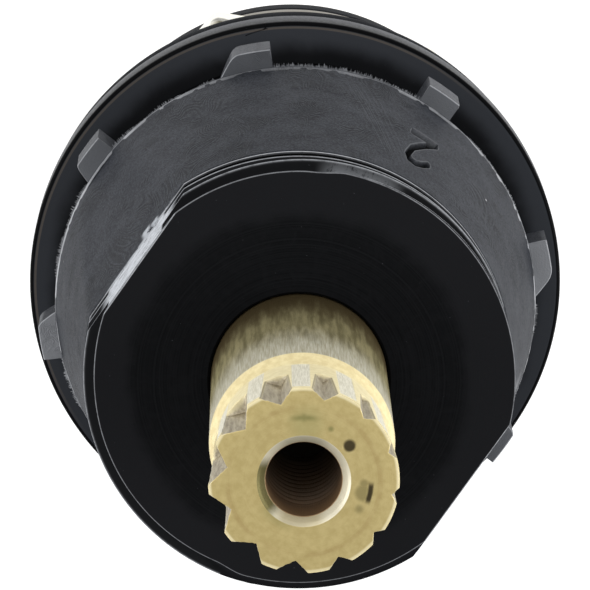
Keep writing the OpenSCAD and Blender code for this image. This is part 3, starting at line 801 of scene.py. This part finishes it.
def ramp_height(phi):
    """0 on the land and 1 on a snap ramp, with straight or flared flanks that run on down to the land."""
    top = 1.05
    out = np.zeros_like(phi)
    for middle, feet in RAMP_FEET.items():
        d = np.radians(wrapped(phi - middle))*14.8
        foot = 2*np.where(d < 0, feet[0], feet[1]) - top
        rise = (foot - np.abs(d))/(foot - top)
        out = np.maximum(out, np.clip(soft_min(rise, np.ones_like(rise), 0.16), 0, 1))
    return out


def sleeve_columns():
    """Angles of the sleeve's columns: closer at the ramps' flanks, the number and the flats' corners."""
    angles = set(np.round(np.arange(0, 360, 0.5), 3))
    for i in range(8):
        for side in (-1, 1):
            for d in np.arange(1.8, 13.0, 0.2):
                angles.add(round((45*i + side*d) % 360, 3))
    corner = math.degrees(math.acos(FLAT_X/CREST_R))
    for middle in (corner, 180 - corner, 180 + corner, 360 - corner):
        for d in np.arange(-0.6, 0.61, 0.1):
            angles.add(round(middle + d, 3))
    for a in np.arange(87.0, 97.2, 0.09):
        angles.add(round(a, 3))
    return spaced(angles, 0.04)


def make_sleeve(barrel, smooth_black):
    """The sleeve as two skins: its smooth nose, and the grained barrel with all that is behind it."""
    phi = sleeve_columns()
    rows = Rows(phi, "wear", "scuff", "sunk")
    add = rows.add
    bore = SHANK_R + 0.08
    face_flat = flat_radius(phi, FACE_Z)
    flatted = on_flat(phi, 0.12)

    def side(s):
        add(np.minimum(nose_radius(phi, s), face_flat), FACE_Z - s, edge_wear(phi, s), nose_scuff(phi, s))

    # Nose: bore, face and threaded side
    add(bore + 0.5, NOSE_Z - 0.3)
    for z in steps(NOSE_Z - 0.1, FACE_Z - 0.15, 1.0):
        add(bore, z)
    edge = np.minimum(nose_radius(phi, 0.12), face_flat)
    inner = bore + 0.12
    add(inner, FACE_Z)
    for t in steps(0, 1, 0.08)[1:]:
        add(inner + (edge - 0.16 - inner)*t, FACE_Z)
    add(edge - 0.07, FACE_Z)
    # The rounded edge of the face carries painted highlight, stronger on the flats
    add(edge - 0.04, FACE_Z - 0.005, 0.5 + 0.4*flatted)
    add(edge - 0.01, FACE_Z - 0.04, 0.5 + 0.4*flatted)
    add(edge, FACE_Z - 0.07)
    for s in nose_depths(phi, 84):
        side(s)
    side(4.3)
    side(4.7)
    add(np.minimum(UNDERCUT_R, face_flat) - 0.05, NOSE_Z - 0.1)
    rows.close("sleeve_nose", None, "bonnet_body", "sleeve_plastic", smooth_black, sharp=38)

    # Barrel: the step behind the undercut, then the taper with its number, and a flake on one flat
    add(bore, NOSE_Z - 0.02)
    for r in steps(UNDERCUT_R - 1, CONE_R - 0.12, 0.3):
        add(np.minimum(r, face_flat - 0.10), NOSE_Z, 0.0, 0.0, 1 - 0.8*flatted)
    for past in (-0.02, 0.0, 0.03, 0.07, 0.12, 0.18, 0.24):
        side(NOSE_LEN + past)
    bumps = Wave(7, 30, 40, 2.0)
    flake = CONE_R*np.sin(np.radians(phi))
    for z in (steps(43.3, 42.5, 0.1) + steps(42.3, 40.6, 0.3) + steps(40.5, 34.9, 0.06)
              + steps(34.7, 29.1, 0.28) + [29.0]):
        cone = CONE_R + (NOSE_Z - z)*(REAR_R - CONE_R)/TAPER_LEN
        stroke = numeral_stroke(phi, z)
        low = 1 - smooth(stroke, 1.7, 3.0)
        # Painted highlight round the rims of the number's strokes
        rim = 0.14*smooth(stroke, 2.7, 3.1)*(1 - smooth(stroke, 3.3, 4.0))
        burr = np.maximum(np.exp(-((flake - 1.20)/0.40)**4)*smooth(z, 42.6, 42.9),
                          np.exp(-((flake - 2.00)/0.34)**4)*smooth(z, 42.9, 43.1))
        burr = burr*(np.cos(np.radians(phi)) < 0)
        # Painted sheen on the barrel about 0 degrees, from 31 mm towards the nose
        painted_sheen = 0.32*(1 - smooth(np.abs(wrapped(phi)), 17, 24))*smooth(z, 31.0, 36.0)
        r = soft_min(cone, flat_radius(phi, z), 0.12) - 0.45*low + 0.006*bumps(phi, z) + 0.03*burr
        add(r, z, np.maximum(rim, painted_sheen), burr, low)

    # Rear edge of the taper, with the ramps' front faces flush with it and a painted highlight along it
    up = ramp_height(phi)
    on_ramp = up > 0.5
    # Painted highlight along the rear edge: faintest about 125 and 305 degrees, brightest about 35 and 215
    # degrees
    line = (0.26 + 0.74*np.abs(np.sin(np.radians(phi - 125)))**1.5)*(0.85 + 0.15*np.clip(bumps(phi), -1, 1))
    rear = REAR_R + 0.004*Wave(3, 40, 160, 0.0)(phi)
    ramp = LAND_R + 2.10*up
    add(rear - 0.085, TAPER_Z + 0.54)
    add(rear - 0.063, TAPER_Z + 0.40, 0.8*line)
    add(rear, TAPER_Z + 0.02, line)
    add(rear + 0.002, TAPER_Z, 0.6*line)
    add(rear + 0.010, TAPER_Z - 0.01)
    add(np.maximum(rear + 0.012, ramp - 0.07), TAPER_Z - 0.02)
    add(np.maximum(rear + 0.014, ramp - 0.04), TAPER_Z - 0.03, 0.5*on_ramp)
    add(np.where(on_ramp, np.maximum(ramp, rear), rear - 0.05), TAPER_Z - 0.07, 0.4*on_ramp)
    add(np.where(on_ramp, ramp + 0.002, ramp), TAPER_Z - 0.12, 0.07)

    # Ramps, which narrow and rise a little towards their rear, with painted highlight on their tops and
    # corners, and the land between and behind them
    corner = np.exp(-((up - 0.93)/0.05)**2)*(up < 0.995)
    for z in steps(28.6, 26.1, 0.5):
        behind = 0.055*(TAPER_Z - z)
        narrow = np.clip((up - behind)/(1 - behind), 0, 1)
        top = 15.41 + (TAPER_Z - z)*0.010
        add(LAND_R + (top - LAND_R)*narrow, z, np.maximum(0.14*(narrow > 0.95), 0.18*corner))
    add(LAND_R + (15.43 - LAND_R)*narrow, 25.95)
    add(LAND_R, 25.88)
    for z in steps(25.0, LAND_Z + 0.2, 1.2):
        add(LAND_R, z)
    add(LAND_R + 0.1, LAND_Z + 0.03)
    rows.add_path([(13.5, LAND_Z, 0), (15.2, LAND_Z, 0.3), (15.2, SLEEVE_Z, 0.3), (8.75, SLEEVE_Z, 0.2),
                   (8.65, 15.4, 0.1), (8.65, 42.4, 0.4), (bore + 0.3, 42.4, 0), (bore, 42.5, 0)], 1.6)
    rows.close("sleeve_moulding", "sleeve", "bonnet_body", "sleeve_plastic", barrel, sharp=38)


def make_flash(material):
    """The bristly film of flash that stands behind the taper's rear edge."""
    count = 4200
    phi = even_columns(count)
    bristle = np.random.default_rng(21).uniform(0, 1, count)**1.4
    dense = 0.5 + 0.5*np.clip(Wave(9, 24, 26, 0.0)(phi)*1.2, -1, 1)
    dense = np.maximum(dense, 1.15*np.exp(-(wrapped(phi - 120)/22)**4))
    reach = (0.05 + 0.24*bristle*dense)*(1 - 0.9*(ramp_height(phi) > 0.3))
    rows = Rows(phi, "wear")
    # Each row: radius, share of the reach, depth behind the edge, lean of the bristles and painted highlight
    for r, share, behind, lean, tone in ((14.12, 0.0, 0.02, 0.0, 0.2), (14.24, 0.7, 0.04, 0.05, 0.16),
                                         (14.25, 1.0, 0.05, 0.10, 0.12), (14.24, 0.6, 0.07, 0.06, 0.16),
                                         (14.12, 0.0, 0.07, 0.0, 0.2)):
        rows.add(r + share*reach, TAPER_Z - behind - lean*bristle, tone)
    rows.close("sleeve_flash", None, "bonnet_body", "sleeve_plastic", material, sharp=60)


# Splined end: twelve notches of one form, cut about a centre that lies off the spindle's axis
TEETH = 12
SECTOR = 360/TEETH
NOTCH_TURN = 25.1
NOTCH_ROOT_R = 4.25
NOTCH_TAN = math.tan(math.radians(54))
NOTCH_END_Z = 66.2
CUT_TURN = 34
CUT_X, CUT_Y, _ = polar(CUT_TURN, 0.3, 0)
CONE_TOP_R = 4.53
TIP_R = 4.87
TIP_BEVEL = 0.14


def spline_columns():
    """Angles of the spindle's columns: close together at the flanks of each notch and at the facets."""
    angles = set(np.round(np.arange(0, 360, 0.75), 3))
    for k in range(TEETH):
        beta = NOTCH_TURN + SECTOR*k
        middle = beta + 3.66*math.sin(math.radians(CUT_TURN - beta))
        angles.add(round(middle % 360, 3))
        for d in list(np.arange(4.5, 11.0, 0.25)) + [0.2, 0.5]:
            angles.add(round((middle + d) % 360, 3))
            angles.add(round((middle - d) % 360, 3))
    return spaced(angles, 0.08)


def spline_blank(z):
    """Radius of the splined end before its notches are cut."""
    if z < CONE_Z:
        return SHANK_R + (CONE_TOP_R - SHANK_R)*(z - SHOULDER_Z)/(CONE_Z - SHOULDER_Z)
    return CONE_TOP_R + (TIP_R - CONE_TOP_R)*(z - CONE_Z)/(TIP_Z - TIP_BEVEL - CONE_Z)


def notch_surface(phi):
    """Radius of the notches' flanks at each angle, and the number of the nearest notch."""
    a = np.radians(phi)
    best = np.full(len(phi), 99.0)
    which = np.zeros(len(phi), int)
    for k in range(TEETH):
        beta = math.radians(NOTCH_TURN + SECTOR*k)
        toward = CUT_X*math.cos(beta) + CUT_Y*math.sin(beta)
        across = -CUT_X*math.sin(beta) + CUT_Y*math.cos(beta)
        d = (a - beta + math.pi) % TAU - math.pi
        value = np.full(len(phi), -99.0)
        for sign in (-1, 1):
            low = np.cos(d) - sign*np.sin(d)/NOTCH_TAN
            flank = (NOTCH_ROOT_R + toward - sign*across/NOTCH_TAN)/np.where(low > 0.05, low, 0.05)
            value = np.maximum(value, flank)
        value = np.where(np.abs(d) < 0.6, value, 99.0)
        which = np.where(value < best, k, which)
        best = np.minimum(best, value)
    return best, which


def facet_mask(phi, r):
    """1 on the flat that the die left on the top of each tooth."""
    x = r*np.cos(np.radians(phi)) - CUT_X
    y = r*np.sin(np.radians(phi)) - CUT_Y
    around_cut = np.degrees(np.arctan2(y, x))
    d = (around_cut - NOTCH_TURN) % SECTOR - SECTOR/2
    v = np.hypot(x, y)*np.sin(np.radians(d))
    return 1 - smooth(np.abs(v), 0.44, 0.50)


def drive_groove(phi, z):
    """0 on the crests and 1 in the grooves of the drive thread: left-hand, two starts, 6 mm a turn."""
    wave = np.abs(((z/3.0 + 2*phi/360) % 1) - 0.5)*2
    return smooth(wave, 0.42, 0.68)


def seal_groove(outer, bore, z, half, rounding):
    """Corners of the groove of a small rubber ring that seals in a bore."""
    floor = bore - SEAL_PLAY - SMALL_CORD - 0.05
    return [(outer, z - half, rounding), (floor, z - half, 0.1),
            (floor, z + half, 0.1), (outer, z + half, rounding)]


def make_spindle(material):
    """The spindle: drive thread, collar, grooved shank, splined end and threaded screw hole."""
    phi = spline_columns()
    rows = Rows(phi, "cut", "burr", "facet")
    add = rows.add
    ends = NOTCH_END_Z + np.random.default_rng(11).uniform(-0.28, 0.22, TEETH)
    tear = Wave(5, 40, 140, 9.0)
    notch, which = notch_surface(phi)

    def splined(z):
        """One row of the splined end. Returns its radius, and 1 where it lies in a notch."""
        blank = spline_blank(z)
        wall = smooth(z, ends[which] - 0.05, ends[which] + 0.05)
        depth = np.clip(blank - notch, 0, None)*wall
        flat = facet_mask(phi, blank)*smooth(z, CONE_Z + 0.10, CONE_Z + 0.16)*(1 - smooth(z, 69.45, 69.55))
        inside = smooth(depth, 0.03, 0.12)
        lip = np.exp(-((depth - 0.04)/0.035)**2)
        r = blank - depth - 0.018*flat + 0.012*tear(phi, z)*inside + 0.012*lip*wall
        # Its marks: notch floor, painted shadow along the burr at the notch's edge, and facet
        add(r, z, inside, lip*wall*smooth(depth, 0.0, 0.02), flat*(1 - inside))
        return r, inside

    low = 1.2
    add(3.2, low)
    for z in [low + 0.05] + steps(low + 0.2, COLLAR_Z - 0.1, 0.2):
        groove = 0.55*drive_groove(phi, z)*smooth(z, low, low + 0.9)*(1 - smooth(z, 18.4, 19.2))
        lead = 0.8*(1 - smooth(z, low - 0.4, low + 0.8))
        add(4.2 - groove - lead*(1 - groove), z)
    clip_r = 3.935
    rows.add_path([
        (4.2, COLLAR_Z, 0), (6.95, COLLAR_Z, 0.25), (6.95, 22.1, 0.25), (SHANK_R, 22.1, 0.1),
        *seal_groove(SHANK_R, NECK_BORE_R, LOWER_SEAL_Z, 1.15, 0.08),
        *seal_groove(SHANK_R, NECK_BORE_R, UPPER_SEAL_Z, 1.15, 0.08),
        (SHANK_R, 38.9, 0.05), (clip_r, 38.9, 0.05), (clip_r, 40.0, 0.05), (SHANK_R, 40.0, 0.05),
        (SHANK_R, SHOULDER_Z - 0.04, 0)], 2.0)
    for z in ([SHOULDER_Z + 0.02] + steps(SHOULDER_Z + 0.3, CONE_Z + 0.02, 0.3)
              + steps(CONE_Z + 0.08, CONE_Z + 0.2, 0.03) + steps(63.9, 65.7, 0.45) + steps(65.8, 66.6, 0.05)
              + steps(66.8, 69.4, 0.2) + [69.45, 69.5, 69.56, 69.8]):
        splined(z)
    tip, inside = splined(TIP_Z - TIP_BEVEL)

    def face_height(r):
        return TIP_Z - TIP_BEVEL*np.clip((r - 4.05)/(TIP_R - 4.05), 0, 1)

    add(tip - 0.02, face_height(tip - 0.02) - 0.012, 0.3*inside)
    add(tip - 0.06, face_height(tip - 0.06), 0.3*inside)
    for t in (0.03, 0.08, 0.16, 0.3, 0.5, 0.72, 0.9):
        r = (tip - 0.07)*(1 - t) + 2.42*t
        add(r, face_height(r))
    for r, down in ((2.40, 0.0), (2.35, 0.03), (2.16, 0.22), (2.00, 0.39)):
        add(r, TIP_Z - down)
    hole_r, hole_low, hole_pitch = 1.95, TIP_Z - 12.5, 0.794
    for z in steps(TIP_Z - 0.46, hole_low + 0.1, 0.1):
        wave = 0.5 - 0.5*np.cos(TAU*(z/hole_pitch - phi/360))
        depth = 0.16*smooth(z, hole_low + 0.5, hole_low + 1.5)*(1 - smooth(z, TIP_Z - 3.4, TIP_Z - 2.0))
        add(hole_r + depth*wave, z)
    add(1.7, hole_low)
    rows.close("spindle_machined", "spindle", "spindle_body", "spindle_brass", material,
               ends="poles", sharp=30)


def hexagon_radius(phi, flats, turn=0.0):
    """Radius of a hexagon with a corner at one turn."""
    return flats/2/np.cos(np.radians((phi - turn) % 60 - 30))


def make_bonnet(material):
    """The bonnet: body thread, flange, hexagon, round body and neck, and the bores through it."""
    phi = np.arange(0, 360, 0.5)
    rows = Rows(phi)
    low = -10.0
    rows.add(8.75, low)
    rows.add(10.0, low)
    # Right-hand thread that screws into the valve body
    thread_pitch = 1.41
    for z in steps(low, -0.30, 0.11):
        wave = np.abs(((z/thread_pitch - phi/360) % 1) - 0.5)*2
        lead = 0.8*(1 - smooth(z, low - 0.4, low + 0.9))
        cut = 0.62*smooth(wave, 0.12, 0.88)*(1 - smooth(z, -1.1, -0.6))
        rows.add(BODY_THREAD_R - lead - cut*(1 - 0.7*lead), z)
    flange_r, flange_low, flange_top = 13.5, 2.0, 3.0
    rows.add_path([(BODY_THREAD_R, -0.2, 0), (10.95, 0, 0.1), (10.5, 0.1, 0.1), (10.5, flange_low, 0.15),
                   (13.1, flange_low, 0)])
    rows.add_path([(13.2, flange_low, 0), (flange_r, flange_low, 0.2), (flange_r, flange_top, 0.2),
                   (12.6, flange_top, 0)])
    # Hexagon: its corners are turned down, and coned towards its top
    hexagon = hexagon_radius(phi, 25.0, 25)
    hexagon_top = 8.0
    corner_r = 28.7/2
    drop = (corner_r - 12.5)*math.tan(math.radians(30)) + 0.25
    for z in [3.01, 3.06, 3.15] + steps(3.3, 6.6, 0.6) + steps(6.7, 7.98, 0.08):
        cone = corner_r - max(z - (hexagon_top - drop), 0)/drop*(corner_r - 12.1)
        r = soft_min(soft_min(hexagon, corner_r, 0.06), cone, 0.06)
        low_edge = 0.12*(1 - smooth(z, flange_top, flange_top + 0.14))
        rows.add(np.maximum(r - low_edge, 12.0), z)
    body_r, neck_r, room_r = 11.6, 8.6, 7.15
    rows.add_path([(12.0, hexagon_top, 0), (body_r, hexagon_top, 0.2), (body_r, SLEEVE_Z, 0.4),
                   (neck_r, SLEEVE_Z, 0.2), (neck_r, NECK_TOP_Z, 0.8), (5.2, NECK_TOP_Z, 0.1),
                   (NECK_BORE_R, 37.6, 0.05), (NECK_BORE_R, 23.1, 0.05), (room_r, 23.1, 0.1),
                   (room_r, 13.8, 0)])
    guide = hexagon_radius(phi, 14.2)
    for z in [13.79] + steps(13.6, -0.8, 1.6) + [-0.99]:
        rows.add(guide, z)
    rows.add_path([(8.39, -1.0, 0), (LOWER_BORE_R, -1.1, 0), (LOWER_BORE_R, -9.6, 0.1), (8.7, -9.95, 0)])
    rows.close("bonnet_turned", "bonnet", "bonnet_body", "bonnet_brass", material, sharp=32)


def make_split_ring(material):
    """The split ring: one open band, closed by its two ends, with a slanted slit."""
    inner, outer = 13.56, 16.17
    low, top = RING_LOW_Z, RING_TOP_Z
    middle = (low + top)/2
    section = rounded_path([(inner, middle, 0), (inner, low, 0.2), (outer, low, 0.28), (outer, top, 0.30),
                            (inner, top, 0.2), (inner, middle, 0)], arcs=9)
    section = split_long(section, 0.5)[:-1]
    for r in (15.60, 15.66, 15.72, 15.78, 15.84):
        section.append((r, top))
    section = sorted(section, key=lambda p: -math.atan2(p[1] - middle, (inner + outer)/2 - p[0]))
    columns = 360
    rows = []
    for r, z in section:
        # The slit runs nearly along the rim at the front, where it opens a little
        slant = 4.6*float(np.clip((r - 15.64)/0.21, 0, 1))
        opened = float(smooth(r, 15.60, 15.66)*(1 - smooth(r, 15.88, 15.96)))*(z > top - 0.3)
        gap = math.degrees((0.003 + 0.16*opened)/r)
        t = np.linspace(0, 1, columns)
        rows.append((np.full(columns, r), z, 136.0 - slant + gap + t*(360 - 2*gap)))
    grid = round_grid(rows, np.zeros(columns)) + np.array(RING_CENTRE + (0.0,))
    skin("split_ring_gloss", grid, "split_ring", "bonnet_body", "ring_plastic", material,
         around=False, sharp=40)


def make_seal(name, node, body, centre_r, centre_z, cord, material, columns=288):
    """A sealing ring with the fine parting lines of its mould."""
    rows = []
    for k in range(48):
        a = TAU*k/48
        r = cord/2*(1 + 0.006*math.exp(-(math.sin(a)/0.08)**2))
        rows.append((centre_r + r*math.cos(a), centre_z + r*math.sin(a)))
    skin(name, round_grid(rows, even_columns(columns)), node, body, "seal_rubber", material, sharp=60)


def make_small_seals(material):
    """The two rings on the spindle and the one on the plunger's piston."""
    for name, node, body, bore, z in (
            ("upper_seal", "spindle_o_ring_upper", "spindle_body", NECK_BORE_R, UPPER_SEAL_Z),
            ("lower_seal", "spindle_o_ring_lower", "spindle_body", NECK_BORE_R, LOWER_SEAL_Z),
            ("piston_seal", "plunger_o_ring", "plunger_body", LOWER_BORE_R, PISTON_SEAL_Z)):
        make_seal(name, node, body, bore - SEAL_PLAY - SMALL_CORD/2, z, SMALL_CORD, material)


def make_plunger(material):
    """The keyed plunger: hexagonal key, piston with its ring's groove, waist, plate and two blind holes."""
    phi = np.arange(0, 360, 1.0)
    rows = Rows(phi)
    plate_r, waist_r, piston_r = 6.7, 5.5, 8.34
    rows.add(1.7, -9.75)
    rows.add(2.05, -9.8)
    rows.add_path([
        (2.05, -9.9, 0), (2.05, -15.9, 0.1), (2.25, -16.0, 0.1), (plate_r, -16.0, 0.2), (plate_r, -14.7, 0.2),
        (waist_r, -14.7, 0.4), (waist_r, -9.7, 0.4), (piston_r, -9.7, 0.2),
        *seal_groove(piston_r, LOWER_BORE_R, PISTON_SEAL_Z, 1.09, 0.06),
        (piston_r, -5.7, 0.2), (8.24, -5.7, 0)], 1.5)
    hexagon = hexagon_radius(phi, 14.0)
    for z in [-5.66] + steps(-5.2, 7.4, 1.6) + steps(7.6, 8.48, 0.11):
        rows.add(np.minimum(hexagon, 8.28 - 1.5*smooth(z, 7.7, 9.3)), z)
    rows.add(4.75, 8.5)
    rows.add(4.35, 8.25)
    for z in steps(8.1, -4.2, 0.25):
        cut = 0.5*smooth(z, -3.6, -2.6)
        rows.add(4.26 + cut - cut*drive_groove(phi, z), z)
    rows.add(4.0, -4.3)
    rows.close("plunger_keyed", "plunger", "plunger_body", "bonnet_brass", material, ends="poles", sharp=32)


def make_gasket(material):
    """The flat gasket below the bonnet's flange."""
    inner, outer, low, top = 11.05, 13.55, 0.02, 1.98
    turned("gasket_flat", [(inner, low, 0.1), (outer, low, 0.3), (outer, top, 0.3), (inner, top, 0.1)],
           "bonnet_gasket", "bonnet_body", "seal_rubber", material)


def make_washer_cup(material):
    """The turned cup below the plunger's plate, with its rim round the seat washer."""
    hole, inner, outer = 2.32, 6.77, 7.53
    top, floor, low = -16.02, -16.88, -18.88
    turned("cup_turned", [(hole, top, 0.1), (outer, top, 0.25), (outer, low, 0.2), (inner, low, 0.15),
                          (inner, floor, 0.1), (hole, floor, 0.1)],
           "washer_cup", "plunger_body", "bonnet_brass", material)


def make_seat_washer(material):
    """The moulded seat washer, sunk round the screw's head."""
    hole, sunk_r, outer = 2.32, 3.9, 6.68
    top, sunk_z, low = -16.93, -19.72, -20.08
    turned("washer_moulded", [(hole, top, 0.1), (outer, top, 0.1), (outer, low, 0.45), (sunk_r, low, 0.12),
                              (sunk_r, sunk_z, 0.05), (hole, sunk_z, 0.1)],
           "seat_washer", "plunger_body", "seal_rubber", material)


def place_floor(material):
    """A plain pale floor under the lowest point of the object."""
    low = CAD_BOX[0].z - 0.0002
    size = 2.0
    corners = [(x*size, y*size, low) for x, y in ((-1, -1), (1, -1), (1, 1), (-1, 1))]
    mesh = bpy.data.meshes.new("floor")
    mesh.from_pydata(corners, [], [(0, 1, 2, 3)])
    mesh.materials.append(material)
    new_object("floor", mesh)


def seen_in_mirror(tree, level):
    """A socket with a level for rays from the camera and for those it sees mirrored or through glass."""
    path = tree.nodes.new("ShaderNodeLightPath")
    seen = path.outputs["Is Camera Ray"]
    for kind in ("Is Glossy Ray", "Is Transmission Ray"):
        either = tree.nodes.new("ShaderNodeMath")
        either.operation = "MAXIMUM"
        tree.links.new(seen, either.inputs[0])
        tree.links.new(path.outputs[kind], either.inputs[1])
        seen = either.outputs[0]
    scaled = tree.nodes.new("ShaderNodeMath")
    scaled.operation = "MULTIPLY"
    scaled.inputs[1].default_value = level
    tree.links.new(seen, scaled.inputs[0])
    return scaled.outputs[0]


def floor_material():
    """Matte pale floor that renders white and keeps the soft shadow."""
    mat = bpy.data.materials.new("floor_pale")
    mat.use_nodes = True
    tree = mat.node_tree
    bsdf = tree.nodes["Principled BSDF"]
    bsdf.inputs["Base Color"].default_value = (0.86, 0.86, 0.86, 1)
    bsdf.inputs["Roughness"].default_value = 0.9
    bsdf.inputs["Specular IOR Level"].default_value = 0.1
    bsdf.inputs["Emission Color"].default_value = (1, 1, 1, 1)
    tree.links.new(seen_in_mirror(tree, 0.45), bsdf.inputs["Emission Strength"])
    return mat


def make_world():
    world = bpy.data.worlds.new("studio")
    bpy.context.scene.world = world
    world.use_nodes = True
    tree = world.node_tree
    mix = tree.nodes.new("ShaderNodeMix")
    mix.data_type = "RGBA"
    tree.links.new(seen_in_mirror(tree, 1.0), mix.inputs["Factor"])
    mix.inputs[6].default_value = (0.60, 0.61, 0.63, 1)
    mix.inputs[7].default_value = (1, 1, 1, 1)
    tree.links.new(mix.outputs[2], tree.nodes["Background"].inputs["Color"])


def area_light(name, place, size, radiance, aim=(0, 0, 45)):
    """A soft square light at a place in millimetres. Its power follows from how bright its face is."""
    light = bpy.data.lights.new(name, "AREA")
    light.shape = "SQUARE"
    light.size = size*MM
    light.energy = radiance*math.pi*(size*MM)**2
    obj = new_object(name, light)
    here = np.array(place, float)
    back = here - np.array(aim, float)
    obj.location = Vector(here*MM)
    obj.rotation_euler = Vector(back).to_track_quat("Z", "Y").to_euler()


def make_lights():
    area_light("key_above", polar(150, 300, 340), 240, 1.5)
    area_light("fill_left", polar(215, 380, 150), 300, 2.2)
    area_light("fill_right", polar(35, 380, 150), 300, 3.4)


def make_camera():
    """The photograph's view: a long lens a little off the axis, in front of the splined end."""
    photo_px = 590
    focal_px = 4560
    here = np.array(polar(127.67, 59.51, 293.94))
    aim = np.array([0, 0, 26.49])
    forward = (aim - here)/np.linalg.norm(aim - here)
    right = np.cross(forward, polar(125, 1, 0))
    right /= np.linalg.norm(right)
    up = np.cross(right, forward)
    data = bpy.data.cameras.new("camera")
    data.sensor_width = 36
    data.lens = focal_px/photo_px*data.sensor_width
    data.clip_start = 0.01
    cam = new_object("camera", data)
    rows = [[right[i], up[i], -forward[i], here[i]*MM] for i in range(3)] + [[0, 0, 0, 1]]
    cam.matrix_world = Matrix(rows)
    bpy.context.scene.camera = cam


def dress(node, material):
    """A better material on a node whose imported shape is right."""
    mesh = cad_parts[node].data
    mesh.materials.clear()
    mesh.materials.append(material)


bpy.context.scene.view_settings.view_transform = "Standard"
make_camera()
make_world()
make_lights()
place_floor(floor_material())

black = sleeve_plastic()
smooth_black = nose_plastic()
gloss = ring_plastic()
rubber = seal_rubber()
brass = spindle_brass()
dull_brass = bonnet_brass()
bright_brass = bonnet_brass("fitting_brass", (0.62, 0.51, 0.28), (0.44, 0.34, 0.15))
nylon = washer_plastic()
steel = clip_steel()

make_sleeve(black, smooth_black)
make_flash(black)
make_spindle(brass)
make_bonnet(dull_brass)
make_split_ring(gloss)
make_plunger(bright_brass)
make_seal("sleeve_seal", "sleeve_o_ring", "bonnet_body", 14.625, 18.35, 2.55, rubber, 360)
make_small_seals(rubber)
make_gasket(rubber)
dress("wear_washer", nylon)
dress("slip_washer", nylon)
dress("retaining_clip", steel)
make_washer_cup(bright_brass)
make_seat_washer(rubber)
dress("bib_screw", bright_brass)
